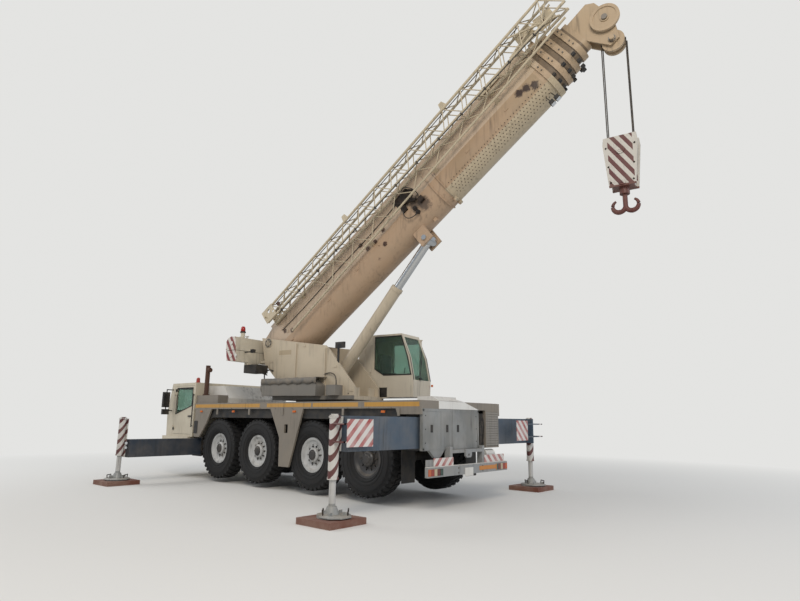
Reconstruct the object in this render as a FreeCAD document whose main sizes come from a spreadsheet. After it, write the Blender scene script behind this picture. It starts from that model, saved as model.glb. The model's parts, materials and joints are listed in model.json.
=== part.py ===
import FreeCAD, Part
import math
import os
import re

os.makedirs("parts", exist_ok=True)
doc = FreeCAD.newDocument("MobileCrane")
sheet = doc.addObject("Spreadsheet::Sheet", "Sizes")

# Driving sizes in millimetres and degrees: x forward from axle three, y to the left, z up from the ground
SIZES = {
    # Running gear
    "axle_three": 0, "tyre_gap_front": 159, "tyre_gap_middle": 502, "tyre_gap_rear": 159,
    "hub_height": 840, "tyre_radius": 745, "tyre_half_width": 215, "bead_radius": 352,
    "rim_half_width": 151, "rim_flange": 372, "rim_wall": 22,
    "hub_radius": 150, "spindle_radius": 60, "kingpin_radius": 40,
    "running_fit": 0.05, "seat_gap": 0.3, "axle_tube": 90, "gear_ball": 215,
    # Chassis and deck
    "frame_half": 380, "frame_floor": 1000, "frame_top": 1600,
    "half_width": 1375, "deck_floor": 1830, "deck_top": 1980, "deck_rear": -3138, "deck_front": 4740,
    "skirt_depth": 45, "hood_half": 950, "slew_x": 1050, "ring_radius": 700, "ring_wall": 80,
    "ring_top": 2060,
    # Outriggers
    "front_jack_gap": 204, "rear_jack_gap": 246, "jack_track": 3257, "beam_width": 170, "beam_gap": 20,
    "front_beam_floor": 630, "front_beam_top": 1060, "rear_beam_floor": 1100, "rear_beam_top": 1670,
    "beam_clear": 10, "mouth_rim": 14, "tunnel_wall": 20, "tunnel_half": 1190, "beam_inner": 840,
    "jack_radius": 85, "rod_radius": 55, "front_jack_top": 1560, "rear_jack_top": 1660,
    "front_jack_floor": 680, "rear_jack_floor": 700, "jack_stroke": 350, "mat_side": 780, "mat_thick": 100,
    # Carrier cab
    "cab_rear": 4930, "cab_front": 6340, "cab_setback": 75, "cab_roof": 2560, "cab_wall": 45,
    "door_rear": 4985, "door_front": 5980, "door_floor": 1150, "door_top": 2480, "door_gap": 6,
    # Superstructure, measured in its own frame: x forward under the boom, y to its left
    "slew_yaw": 188, "plate_inner": 450, "plate_thick": 60, "base_floor": 2060, "base_top": 2150,
    "pin_x": -1540, "pin_z": 3540, "pin_radius": 70, "boom_pitch": 38,
    "weight_half": 1300,
    "crane_cab_near": 560, "crane_cab_far": 1380, "crane_cab_rear": 620, "crane_cab_front": 2300,
    "crane_cab_roof": 3700, "crane_wall": 40,
    # Boom, measured in its own frame: x along the boom from the foot pin, z square to it
    "boom_top": 400, "boom_floor": -840, "boom_half": 410, "boom_start": -260,
    "boom_wall": 16, "section_step": 58, "collar_thick": 30, "collar_step": 270,
    "head_nose": 350, "sheave_x": 10600, "sheave_z": -960, "sheave_radius": 230, "rope_radius": 11,
    "pulley_z": -500, "pulley_radius": 300,
    "eye_x": 4950, "eye_z": -1050, "foot_x": 280, "foot_z": 2450,
    "barrel_radius": 140, "lift_rod_radius": 100, "gland_reach": 2930, "rod_length": 2810,
    "jib_start": 450, "jib_bays": 34, "chord_radius": 30, "lace_radius": 12,
    "origin_shift": 0,
}
for row, (alias, value) in enumerate(SIZES.items(), start=1):
    sheet.set("A%d" % row, alias)
    sheet.set("B%d" % row, str(value))
    sheet.setAlias("B%d" % row, alias)
doc.recompute()


# Sizes that follow from the driving ones
DERIVED = {
    "axle_two": "axle_three + 2 * tyre_radius + tyre_gap_middle",
    "axle_one": "axle_two + 2 * tyre_radius + tyre_gap_front",
    "axle_four": "axle_three - 2 * tyre_radius - tyre_gap_rear",
    "front_jack": "axle_one + tyre_radius + front_jack_gap + tunnel_side",
    "rear_jack": "axle_four - tyre_radius - rear_jack_gap - tunnel_side",
    "tunnel_side": "beam_width + beam_gap / 2 + beam_clear + tunnel_wall",
    "frame_front": "front_jack - tunnel_side",
    "frame_rear": "rear_jack + tunnel_side",
    "cab_floor": "front_beam_top + beam_clear + tunnel_wall",
    "crane_cab_floor": "base_top",
    "cab_half": "half_width - cab_setback",
    "head_end": "sheave_x + head_nose",
    "bumper_rear": "deck_rear - 166",
    "rear_shelf": "deck_rear - 96",
    "wheel_track": "half_width - 290",
    "kingpin_track": "wheel_track - 285",
    "beam_outer": "jack_track - jack_radius - 52",
    "boom_end": "sheave_x - 1400",
    "pulley_x": "sheave_x + 220",
    "jib_end": "sheave_x - 100",
    "crane_sill": "crane_cab_floor + 0.265 * (crane_cab_roof - crane_cab_floor)",
    "crane_brow": "crane_cab_floor + 0.619 * (crane_cab_roof - crane_cab_floor)",
    "pane_low": "crane_cab_floor + 0.348 * (crane_cab_roof - crane_cab_floor)",
    "pane_step": "crane_cab_floor + 0.452 * (crane_cab_roof - crane_cab_floor)",
    "plate_outer": "plate_inner + plate_thick",
    "fall_reach": "sheave_radius + rope_radius + seat_gap",
}


def spelled(text):
    """Expression with each name written out as a cell of the sheet."""
    def one(match):
        name = match.group(0)
        if name in DERIVED:
            return "(" + spelled(DERIVED[name]) + ")"
        return "Sizes." + name if name in SIZES else name
    return re.sub(r"[a-z_]+", one, str(text))


class Reader:
    """Reads a driving or derived size by its name."""

    def __getattr__(self, name):
        return float(sheet.evalExpression(spelled(name)))


s = Reader()
NODES = []


def bind(thing, path, text):
    """Binds one property to an expression in the sheet's names."""
    thing.setExpression(path, spelled(text))


def seat(thing, x, y, z):
    """Binds the place of a piece."""
    for path, text in (("x", x), ("y", y), ("z", z)):
        bind(thing, "Placement.Base." + path, text)
    return thing


def box(name, x, y, z, length, width, height):
    """Box from its low corner and its three lengths, all as expressions."""
    thing = doc.addObject("Part::Box", name)
    for path, text in (("Length", length), ("Width", width), ("Height", height)):
        bind(thing, path, text)
    return seat(thing, x, y, z)


TURNS = {"x": ((0, 1, 0), 90), "y": ((1, 0, 0), -90), "z": ((0, 0, 1), 0)}


def cylinder(name, axis, x, y, z, radius, height):
    """Cylinder along +X, +Y or +Z from the middle of its first face."""
    thing = doc.addObject("Part::Cylinder", name)
    bind(thing, "Radius", radius)
    bind(thing, "Height", height)
    vector, angle = TURNS[axis]
    thing.Placement = FreeCAD.Placement(FreeCAD.Vector(), FreeCAD.Rotation(FreeCAD.Vector(*vector), angle))
    return seat(thing, x, y, z)


def sketch(name, points):
    """Closed outline of straight stretches, in its own flat plane."""
    thing = doc.addObject("Sketcher::SketchObject", name)
    corners = [FreeCAD.Vector(u, v, 0) for u, v in points]
    edges = [Part.LineSegment(a, b) for a, b in zip(corners, corners[1:] + corners[:1])]
    thing.addGeometry(edges, False)
    return thing


# Planes for outlines: the sketch's two directions and the way the solid grows
PLANES = {
    "xz": (FreeCAD.Rotation(FreeCAD.Vector(1, 0, 0), 90), FreeCAD.Vector(0, 1, 0)),
    "xy": (FreeCAD.Rotation(), FreeCAD.Vector(0, 0, 1)),
    "yz": (FreeCAD.Rotation(FreeCAD.Vector(1, 1, 1), 120), FreeCAD.Vector(1, 0, 0)),
}


def plate(name, plane, points, start, depth):
    """Solid with an outline in a plane, from start to start + depth along the plane's normal."""
    drawing = sketch(name + "Outline", points)
    turn, normal = PLANES[plane]
    drawing.Placement = FreeCAD.Placement(FreeCAD.Vector(), turn)
    thing = doc.addObject("Part::Extrusion", name)
    thing.Base = drawing
    thing.DirMode = "Custom"
    thing.Dir = normal
    thing.Solid = True
    bind(thing, "LengthFwd", depth)
    path = {"xz": ("0", start, "0"), "xy": ("0", "0", start), "yz": (start, "0", "0")}[plane]
    return seat(thing, *path)


def lathe(name, points):
    """Turned solid about Y from an outline of (radius, y) corners."""
    drawing = sketch(name + "Outline", points)
    thing = doc.addObject("Part::Revolution", name)
    thing.Source = drawing
    thing.Axis = FreeCAD.Vector(0, 1, 0)
    thing.Angle = 360
    thing.Solid = True
    return thing


def cut(name, base, tools):
    """Base without the tools."""
    for tool in tools:
        step = doc.addObject("Part::Cut", name)
        step.Base = base
        step.Tool = tool
        base = step
    return base


def fuse(name, pieces):
    """One solid of pieces that overlap or share a face."""
    thing = doc.addObject("Part::MultiFuse", name)
    thing.Shapes = pieces
    thing.Refine = True
    return thing


def mirrored(name, piece):
    """The same piece on the other side of the middle plane."""
    thing = doc.addObject("Part::Mirroring", name)
    thing.Source = piece
    thing.Normal = FreeCAD.Vector(0, 1, 0)
    return thing


def pair(name, piece):
    """A piece and its mirror image."""
    return [piece, mirrored(name, piece)]


def raw(name, shape):
    """Piece shaped directly from sizes read from the sheet."""
    thing = doc.addObject("Part::Feature", name)
    thing.Shape = shape
    return thing


def part(label, pieces, x="0", y="0", z="0", yaw="0", pitch="0"):
    """Sub-part: its pieces with their own label and a placement bound to the sheet."""
    thing = doc.addObject("Part::Compound", label)
    thing.Links = pieces
    thing.Label = label
    text = "create(<<placement>>; create(<<vector>>; origin_shift + %s; %s; %s);" \
           " create(<<rotation>>; %s; %s; 0))" % (x, y, z, yaw, pitch)
    bind(thing, "Placement", text)
    NODES.append(thing)
    return thing


def bar(name, a, b, radius):
    """Round bar between two points."""
    start = FreeCAD.Vector(a)
    run = FreeCAD.Vector(b) - start
    return Part.makeCylinder(radius, run.Length, start, run)


# Wheels: (name, axle alias, steered)
AXLES = (("one", "axle_one", True), ("two", "axle_two", True), ("three", "axle_three", False),
         ("four", "axle_four", True))
SIDES = (("left", 1), ("right", -1))


def tyre():
    wide = s.tyre_half_width
    bead = s.rim_half_width - 11
    far = s.tyre_radius
    low = s.bead_radius
    return lathe("Tyre", [(low, -bead), (s.rim_flange + 2, -bead), (s.rim_flange + 30, -bead - 40),
                          (0.72 * far, -wide), (far - 55, -wide + 12),
                          (far, -wide + 50), (far, wide - 50), (far - 55, wide - 12), (0.72 * far, wide),
                          (s.rim_flange + 30, bead + 40), (s.rim_flange + 2, bead), (low, bead)])


def rim():
    low = s.bead_radius - s.seat_gap
    inner = low - s.rim_wall
    edge = s.rim_half_width
    bead = edge - 11 + s.seat_gap
    hub = s.hub_radius
    shell = lathe("RimShell", [(inner, -edge), (s.rim_flange, -edge), (s.rim_flange, -bead), (low, -bead),
                               (low, bead), (s.rim_flange, bead), (s.rim_flange, edge), (inner, edge),
                               (inner - 40, edge - 45), (hub + 60, edge - 75), (hub, edge - 75), (hub,
                                                                                                  edge - 20),
                               (hub - 25, edge + 4), (0, edge + 4), (0, edge - 45),
                               (s.spindle_radius + s.running_fit, edge - 45),
                               (s.spindle_radius + s.running_fit, -60), (hub - 20, -60), (hub - 20,
                                                                                          edge - 95),
                               (inner - 30, edge - 95), (inner, edge - 70)])
    holes = []
    for turn in range(10):
        angle = math.radians(36 * turn)
        spot = FreeCAD.Vector((hub + 70) * math.cos(angle), 0, (hub + 70) * math.sin(angle))
        holes.append(Part.makeCylinder(19, 2 * edge, spot, FreeCAD.Vector(0, 1, 0)))
    return cut("Rim", shell, [raw("HandHoles", Part.makeCompound(holes))])


def knuckle():
    barrel = cylinder("KnuckleBarrel", "z", "0", "0", "-150", "kingpin_radius + 42", "300")
    pin = cylinder("Kingpin", "z", "0", "0", "-214", "kingpin_radius", "428")
    spindle = cylinder("Spindle", "y", "0", "0", "0", "spindle_radius", "wheel_track - kingpin_track + 100")
    arm = box("SteeringArm", "-210", "-40", "-100", "210", "50", "40")
    return fuse("Knuckle", [barrel, pin, spindle, arm])


def axle_beam(name, steered):
    tube = cylinder(name + "Tube", "y", "0", "-kingpin_track + 150", "0", "axle_tube",
                    "2 * kingpin_track - 300")
    ball = doc.addObject("Part::Sphere", name + "Ball")
    bind(ball, "Radius", "gear_ball")
    struts = [cylinder(name + "Strut", "z", "0", side, "0", "55", "frame_floor - hub_height")
              for side in ("frame_half - 90", "-frame_half + 90")]
    pieces = [tube, ball] + struts
    if steered:
        web = box(name + "Web", "-70", "kingpin_track - 160", "-215", "140", "50", "430")
        arms = box(name + "Arms", "-70", "kingpin_track - 110", "-215", "140", "180", "430")
        mouth = box(name + "Mouth", "-90", "kingpin_track - 110", "-155", "180", "220", "310")
        bore = cylinder(name + "Bore", "z", "0", "kingpin_track", "-230", "kingpin_radius + running_fit",
                        "460")
        fork = cut(name + "Fork", fuse(name + "ForkBlock", [web, arms]), [mouth, bore])
        pieces += pair(name + "ForkRight", fork)
    else:
        stub = cylinder(name + "Stub", "y", "0", "kingpin_track - 160", "0", "axle_tube", "120")
        spindle = cylinder(name + "Spindle", "y", "0", "kingpin_track - 60", "0", "spindle_radius",
                           "wheel_track - kingpin_track + 160")
        pieces += pair(name + "StubRight", fuse(name + "End", [stub, spindle]))
    seat_cut = box(name + "RailSeat", "-gear_ball", "-gear_ball", "frame_floor - hub_height", "2 * gear_ball",
                   "2 * gear_ball", "gear_ball")
    return cut(name + "Seated", fuse(name, pieces), [seat_cut])


tyre_master = tyre()
rim_master = rim()
knuckle_master = knuckle()
for number, alias, steered in AXLES:
    for side, sign in SIDES:
        yaw = "0" if sign > 0 else "180"
        label = "%s_%s" % (number, side)
        part("tyre_" + label, [tyre_master], alias, "%d * wheel_track" % sign, "hub_height", yaw)
        part("rim_" + label, [rim_master], alias, "%d * wheel_track" % sign, "hub_height", yaw)
        if steered:
            part("knuckle_" + label, [knuckle_master], alias, "%d * kingpin_track" % sign, "hub_height", yaw)

# Chassis: rails as one box, outrigger tunnels, ring pedestal and the four axle beams
beams = []
for number, alias, steered in AXLES:
    beam = axle_beam("Axle" + number.capitalize(), steered)
    carrier = doc.addObject("Part::Compound", "AxleAt" + number.capitalize())
    carrier.Links = [beam]
    seat(carrier, alias, "0", "hub_height")
    beams.append(carrier)


def tunnel(name, jack, floor, top):
    """Outrigger tunnel across the frame, welded of plates, with rimmed mouths and wear pads."""
    rear = jack + " - tunnel_side"
    low = floor + " - beam_clear - tunnel_wall"
    deep = "%s - %s + 2 * beam_clear" % (top, floor)
    plates = [box(name + "Floor", rear, "-tunnel_half", low, "2 * tunnel_side", "2 * tunnel_half",
                  "tunnel_wall"),
              box(name + "Roof", rear, "-tunnel_half", top + " + beam_clear", "2 * tunnel_side",
                  "2 * tunnel_half",
                  "tunnel_wall")]
    for x in (rear, jack + " + tunnel_side - tunnel_wall"):
        plates.append(box(name + "Wall", x, "-tunnel_half", floor + " - beam_clear", "tunnel_wall",
                          "2 * tunnel_half",
                          deep))
    pad = box(name + "Pad", jack + " - beam_width - beam_gap / 2", "tunnel_half - 150",
              floor + " - beam_clear",
              "2 * beam_width + beam_gap", "150", "beam_clear - seat_gap")
    sill = box(name + "Sill", rear + " - mouth_rim", "tunnel_half - 30", low + " - mouth_rim",
               "2 * tunnel_side + 2 * mouth_rim", "30", "mouth_rim")
    jambs = [box(name + "Jamb", x, "tunnel_half - 30", low, "mouth_rim", "30", deep + " + 2 * tunnel_wall")
             for x in (rear + " - mouth_rim", jack + " + tunnel_side")]
    for piece in [pad, sill] + jambs:
        plates += pair(name + "Right", piece)
    return plates


rails = box("Rails", "frame_rear", "-frame_half", "frame_floor", "frame_front - frame_rear", "2 * frame_half",
            "frame_top - frame_floor")
nose = box("FrameNose", "frame_front - 360", "-frame_half", "front_beam_floor - beam_clear - tunnel_wall",
           "360",
           "2 * frame_half", "frame_floor - front_beam_floor + beam_clear + tunnel_wall")
pedestal = cut("Pedestal", cylinder("PedestalOuter", "z", "slew_x", "0", "frame_top", "ring_radius",
                                    "ring_top - frame_top - seat_gap"),
               [cylinder("PedestalBore", "z", "slew_x", "0", "frame_top - 10", "ring_radius - ring_wall",
                         "ring_top - frame_top + 20")])
cross = [box("DeckBearer", x, "-kingpin_track", "frame_top", "80", "2 * kingpin_track",
             "deck_floor - frame_top")
         for x in ("deck_rear + 500", "-900", "2500", "4100")]
tunnels = tunnel("FrontTunnel", "front_jack", "front_beam_floor", "front_beam_top")
tunnels += tunnel("RearTunnel", "rear_jack", "rear_beam_floor", "rear_beam_top")
block = box("EngineBlock", "2700", "-frame_half + 20", "frame_top", "1200", "2 * frame_half - 40", "220")
part("chassis_frame", [rails, nose, pedestal, block] + cross + tunnels + beams)

# Outriggers: beam with its jack housing, and the rod with its float, which rests on a mat
for end, jack, floor, top, jack_top, jack_floor in (
        ("front", "front_jack", "front_beam_floor", "front_beam_top", "front_jack_top", "front_jack_floor"),
        ("rear", "rear_jack", "rear_beam_floor", "rear_beam_top", "rear_jack_top", "rear_jack_floor")):
    for side, sign in SIDES:
        tag = end.capitalize() + side.capitalize()
        offset = "-beam_width - beam_gap / 2" if sign > 0 else "beam_gap / 2"
        beam = box(tag + "Beam", offset, "beam_inner", floor, "beam_width", "beam_outer - beam_inner",
                   "%s - %s" % (top, floor))
        housing = cut(tag + "Housing", cylinder(tag + "Tube", "z", "0", "jack_track", jack_floor,
                                                "jack_radius",
                                                "%s - %s" % (jack_top, jack_floor)),
                      [cylinder(tag + "Bore", "z", "0", "jack_track", jack_floor + " - 10",
                                "rod_radius + running_fit", "%s - %s - 20" % (jack_top, jack_floor))])
        lugs = [box(tag + "Web", "-60", "beam_outer - 20", floor + " + 10", "120",
                    "jack_track - beam_outer - 50",
                    "%s - %s - 20" % (top, floor)),
                box(tag + "Flange", "-95", "jack_track - jack_radius - 14", top + " - 140", "190", "24",
                    "%s - %s + 140" % (jack_top, top)),
                cylinder(tag + "Cap", "z", "0", "jack_track", jack_top + " - 22", "jack_radius + 14", "22")]
        plate_end = box(tag + "EndPlate", "-beam_width - beam_gap / 2", "beam_outer - 30", floor,
                        "2 * beam_width + beam_gap", "30", "%s - %s" % (top, floor))
        solid = fuse(tag + "Arm", [beam, plate_end, housing] + lugs)
        arm = solid if sign > 0 else mirrored(tag + "Arm", solid)
        part("outrigger_%s_%s" % (end, side), [arm], jack)
        rod = cylinder(tag + "Rod", "z", "0", "jack_track", "mat_thick + seat_gap + 40", "rod_radius",
                       "%s - mat_thick - 250 - jack_stroke" % jack_top)
        disc = cylinder(tag + "Disc", "z", "0", "jack_track", "mat_thick + seat_gap", "235", "50")
        cup = doc.addObject("Part::Cone", tag + "Cup")
        cup.Radius1 = 125
        cup.Radius2 = 75
        cup.Height = 120
        seat(cup, "0", "jack_track", "mat_thick + seat_gap + 50")
        solid = fuse(tag + "Foot", [rod, disc, cup])
        foot = solid if sign > 0 else mirrored(tag + "FootRight", solid)
        part("jack_rod_%s_%s" % (end, side), [foot], jack)
mats = [box("Mat", "%s - mat_side / 2" % jack, "%d * jack_track - mat_side / 2" % sign, "0", "mat_side",
            "mat_side", "mat_thick") for jack in ("front_jack", "rear_jack") for side, sign in SIDES]
part("outrigger_mats", mats)

# Body: deck, side panels with the wheel arches cut between them, bumpers and boxes on the deck
deck = cut("Deck", box("DeckSlab", "deck_rear", "-half_width", "deck_floor", "deck_front - deck_rear",
                       "2 * half_width", "deck_top - deck_floor"),
           [cylinder("DeckWell", "z", "slew_x", "0", "deck_floor - 10", "ring_radius + seat_gap", "200")])
front_edge = s.deck_front - 40
front_panel = plate("FrontPanel", "xz", [(s.axle_one + 290, s.deck_floor), (s.axle_one + 498, 1456),
                                         (s.axle_one + 800, 1100), (front_edge, 1100), (front_edge,
                                                                                        s.deck_floor)],
                    "half_width - skirt_depth", "skirt_depth")
middle_points = [(s.axle_three + 215, s.deck_floor), (s.axle_three + 634, 550), (s.axle_two - 1003, 550),
                 (s.axle_two - 979, 1184), (s.axle_two - 597, s.deck_floor)]
middle_panel = cut("MiddlePanelCut", plate("MiddlePanel", "xz", middle_points, "half_width - skirt_depth",
                                           "skirt_depth"),
                   [box("FillerRecess", "axle_three + 720", "half_width - skirt_depth - 10", "1290", "125",
                        "skirt_depth + 20", "190")])
rear_panel = plate("RearPanel", "xz", [(s.deck_rear, 1720), (s.axle_four - 911, 1720),
                                       (s.axle_four - 864, s.deck_floor), (s.deck_rear, s.deck_floor)],
                                       "half_width - skirt_depth", "skirt_depth")
side_panels = []
for name, panel in (("FrontPanelRight", front_panel), ("MiddlePanelRight", middle_panel),
                    ("RearPanelRight", rear_panel)):
    side_panels += pair(name, panel)
deck_box = box("DeckBox", "cab_rear - 1080", "hood_half + 5", "deck_top", "1070", "300", "220")
bumper = box("RearBumper", "bumper_rear", "-half_width", "598", "70", "2 * half_width", "178")
hangers = [box("BumperHanger", "rear_shelf", y, "598", "130", "80", "520") for y in ("-600", "520")]
ties = [box("BumperTie", "rear_shelf", y, "1048", "rear_jack - tunnel_side - rear_shelf", "80", "70")
        for y in ("-600", "520")]
tow_bar = box("TowBar", "rear_shelf", "-600", "1000", "100", "1200", "60")
tow_points = [(-85, 1060), (-85, 940), (-50, 905), (90, 905), (125, 940), (125, 1060)]
tow_lug = cut("TowLug", plate("TowLugBlank", "yz", tow_points, "rear_shelf - 40", "40"),
              [cylinder("TowBore", "x", "rear_shelf - 50", "20", "955", "26", "60")])
boards = [box("BoardCarrier", "rear_shelf", y, "776", "12", "460", "130")
          for y in ("-half_width + 30", "half_width - 490")]
headlamps = [box("FrontLamp", "6360", y, "700", "70", "320", "150")
             for y in ("half_width - 575", "-half_width + 255")]
bumper_front = cut("FrontBumper", plate("BumperBlank", "xz", [(5060, 620), (6400, 560), (6460, s.cab_floor),
                                                              (5060, s.cab_floor)],
                                        "-half_width + 20", "2 * half_width - 40"), headlamps)
part("carrier_body", [deck, deck_box] + side_panels + [
                      fuse("RearBumperBar", [bumper, tow_bar, tow_lug] + hangers + ties + boards),
                      bumper_front])

# Carrier cab
side = [(s.cab_rear, s.cab_floor), (s.cab_front, s.cab_floor), (s.cab_front + 50, 1750),
        (s.cab_front - 150, s.cab_roof), (s.cab_rear, s.cab_roof)]
wall = s.cab_wall
inside = [(s.cab_rear + wall, s.cab_floor + wall), (s.cab_front - wall, s.cab_floor + wall),
          (s.cab_front + 50 - wall, 1750), (s.cab_front - 150 - wall, s.cab_roof - wall),
          (s.cab_rear + wall, s.cab_roof - wall)]
cab_outer = plate("CabOuter", "xz", side, "-cab_half", "2 * cab_half")
cab_inner = plate("CabInner", "xz", inside, "-cab_half + cab_wall", "2 * cab_half - 2 * cab_wall")
door_hole = box("DoorHole", "door_rear", "-cab_half - 10", "door_floor", "door_front - door_rear",
                "2 * cab_half + 20", "door_top - door_floor")
screen_hole = box("ScreenHole", "cab_front - 260", "-cab_half + 130", "1800", "400", "2 * cab_half - 260",
                  "620")
rear_hole = box("RearWindow", "cab_rear - 10", "-700", "2050", "cab_wall + 20", "1400", "330")
cab = cut("Cab", cab_outer, [cab_inner, door_hole, screen_hole, rear_hole])

door_outline = [(s.door_rear + s.door_gap, s.door_floor + s.door_gap),
                (s.door_front - s.door_gap, s.door_floor + s.door_gap),
                (s.door_front - s.door_gap, s.door_top - s.door_gap),
                (s.door_rear + s.door_gap, s.door_top - s.door_gap)]
window = [(s.door_rear + 70, 1930), (s.door_front - 80, 1700), (s.door_front - 80, s.door_top - 60),
          (s.door_rear + 70, s.door_top - 60)]
door = cut("Door", plate("DoorSkin", "xz", door_outline, "cab_half - cab_wall", "cab_wall"),
           [plate("DoorWindow", "xz", window, "cab_half - cab_wall - 10", "cab_wall + 20")])
pane = plate("DoorPane", "xz", window, "cab_half - cab_wall / 2 - 4", "8")
HINGE_LEVELS = ("1300", "2250")
leaves = []
pins = []
for level in HINGE_LEVELS:
    eye = cut("HingeEye", cylinder("HingeEyeOuter", "z", "door_front + 4", "cab_half + 16", level, "15",
                                   "70"),
              [cylinder("HingeBore", "z", "door_front + 4", "cab_half + 16", level + " - 5",
                        "8 + running_fit", "80")])
    strap = box("HingeStrap", "door_front - 90", "cab_half", level, "82", "10", "70")
    leaves.append(fuse("HingeLeaf", [eye, strap]))
    ends = [box("HingeEnd", "door_front - 6", "cab_half", z, "60", "30", "16")
            for z in (level + " - 16 - seat_gap", level + " + 70 + seat_gap")]
    pin = cylinder("HingePin", "z", "door_front + 4", "cab_half + 16", level + " - 10", "8", "90")
    pins.append(fuse("HingeFrame", ends + [pin]))
door = fuse("DoorHung", [door] + leaves)
hinge_frames = pins + [mirrored("HingeFrameRight", piece) for piece in pins]
part("carrier_cab_shell", [fuse("CabHinged", [cab] + hinge_frames)])
part("cab_door_left", [door])
part("cab_door_left_glass", [pane])
part("cab_door_right", [mirrored("DoorRight", door)])
part("cab_door_right_glass", [mirrored("PaneRight", pane)])

rake = (s.cab_roof - 1750) / 200.0
screen = plate("Windscreen", "xz", [(s.cab_front + 50 - 26 - (1800 - 1750) / rake, 1800),
                                    (s.cab_front + 50 - 18 - (1800 - 1750) / rake, 1800),
                                    (s.cab_front + 50 - 18 - (2420 - 1750) / rake, 2420),
                                    (s.cab_front + 50 - 26 - (2420 - 1750) / rake, 2420)],
               "-cab_half + 130", "2 * cab_half - 260")
rear_pane = box("RearPane", "cab_rear + 18", "-700", "2050", "8", "1400", "330")
part("carrier_cab_glass", [screen, rear_pane])

floor = "cab_floor + cab_wall"
seats = []
for y in ("450", "-950"):
    seats.append(fuse("Seat", [box("SeatBase", "5250", y, floor, "380", "500", "300"),
                               box("SeatCushion", "5200", y, "cab_floor + 345", "520", "500", "130"),
                               box("SeatBack", "5140", y, "cab_floor + 345", "130", "500", "750")]))
dash = plate("Dash", "xz", [(6020, s.cab_floor + wall), (s.cab_front - wall - 5, s.cab_floor + wall),
                            (s.cab_front - wall + 20, 1700), (6130, 1740), (6000, 1560)],
             "-cab_half + cab_wall + 20", "2 * cab_half - 2 * cab_wall - 40")


def mudguard(name, outline):
    """Flat guard over the tyres with a skirt down its outer edge and rolled ends."""
    low, high = outline[0][0], outline[-1][0]
    top = box(name + "Top", "%f" % (low + 40), "half_width - skirt_depth - 470", "deck_floor - 30",
              "%f" % (high - low - 80), "450", "30")
    skirt = plate(name + "Skirt", "xz", outline, "half_width - skirt_depth - 30", "18")
    return fuse(name, [top, skirt])


front_skirt = [(s.axle_two - 752, s.deck_floor), (s.axle_two - 662, 1640), (s.axle_two - 542, 1615),
               (s.axle_one + 249, 1615), (s.axle_one + 429, 1560), (s.axle_one + 499, 1610),
               (s.axle_one + 304, s.deck_floor)]
rear_skirt = [(s.axle_four - 851, s.deck_floor), (s.axle_four - 911, 1700), (s.axle_four - 771, 1615),
              (s.axle_three + 170, 1615), (s.axle_three + 300, 1640), (s.axle_three + 370, s.deck_floor)]
guards = pair("FrontGuardRight", mudguard("FrontGuard", front_skirt))
guards += pair("RearGuardRight", mudguard("RearGuard", rear_skirt))
flap = fuse("FlapHung", [box("Mudflap", "rear_jack + tunnel_side + 50", "870", "440", "10", "395", "670"),
                         box("FlapBracket", "rear_jack + tunnel_side", "tunnel_half - 330", "1080", "55",
                             "290", "30")])
flaps = pair("MudflapRight", flap)


def mirror_arm():
    """Mirror head with its two bent arms, on the cab's front pillar."""
    head = Part.makeBox(90, 210, 430, FreeCAD.Vector(s.cab_front - 250, s.cab_half + 105, 1880))
    head = head.makeFillet(30, [edge for edge in head.Edges if abs(edge.tangentAt(0).z) > 0.9])
    low = Part.makeBox(80, 190, 150, FreeCAD.Vector(s.cab_front - 245, s.cab_half + 110, 1680))
    solids = [head, low]
    for z in (1790, 2380):
        solids.append(bar("MirrorArm", (s.cab_front - 205, s.cab_half, z), (s.cab_front - 205,
                                                                            s.cab_half + 200, z), 14))
    solids.append(bar("MirrorPost", (s.cab_front - 205, s.cab_half + 200, 1700),
                      (s.cab_front - 205, s.cab_half + 200, 2394), 14))
    return solids[0].multiFuse(solids[1:])


mirrors = pair("MirrorRight", raw("Mirror", mirror_arm()))
wheel_ring = doc.addObject("Part::Torus", "SteeringWheel")
wheel_ring.Radius1 = 215
wheel_ring.Radius2 = 14
wheel_ring.Placement = FreeCAD.Placement(FreeCAD.Vector(5960, 700, 1800),
                                         FreeCAD.Rotation(FreeCAD.Vector(0, 1, 0), -30))
column = raw("SteeringColumn", bar("Column", (6080, 700, 1590), (5953, 700, 1812), 28).fuse(
    bar("Spoke", (5960, 490, 1800), (5960, 910, 1800), 12)))
steering = fuse("Steering", [wheel_ring, column])
part("black_fittings", seats + [fuse("DashSteering", [dash, steering])] + guards + flaps + mirrors)

# Engine with its cover and the upright exhaust
hood_rear = s.cab_rear - 1140
hood_front = s.cab_rear - 12
cover = plate("EngineCover", "xz", [(hood_rear, s.deck_top), (hood_front, s.deck_top), (hood_front, 2475),
                                    (hood_rear + 290, 2460), (hood_rear, 2125)], "-hood_half",
                                    "2 * hood_half")
stack = cylinder("Stack", "z", "cab_rear - 230", "hood_half + 155", "deck_top + 220", "62", "830")
stack_base = cylinder("StackBase", "z", "cab_rear - 230", "hood_half + 155", "deck_top + 220", "90", "40")
tip_low = FreeCAD.Vector(s.cab_rear - 230, s.hood_half + 155, s.deck_top + 1050)
tip_turn = Part.makeTorus(130, 62, tip_low + FreeCAD.Vector(-130, 0, 0), FreeCAD.Vector(0, -1, 0), 0, 360, 40)
tip = raw("StackTip", tip_turn)
part("exhaust_stack", [fuse("StackWhole", [stack, stack_base, tip])])
cover_side = s.half_width - 45
rear_cover = plate("RearCover", "yz", [(cover_side, s.deck_floor), (cover_side, 1060), (1120, 1060), (960,
                                                                                                      925),
                                       (790, 925), (640, 1060), (-549, 1060), (-549, s.deck_floor)],
                                       "deck_rear", "63")
back = s.deck_rear
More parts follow.
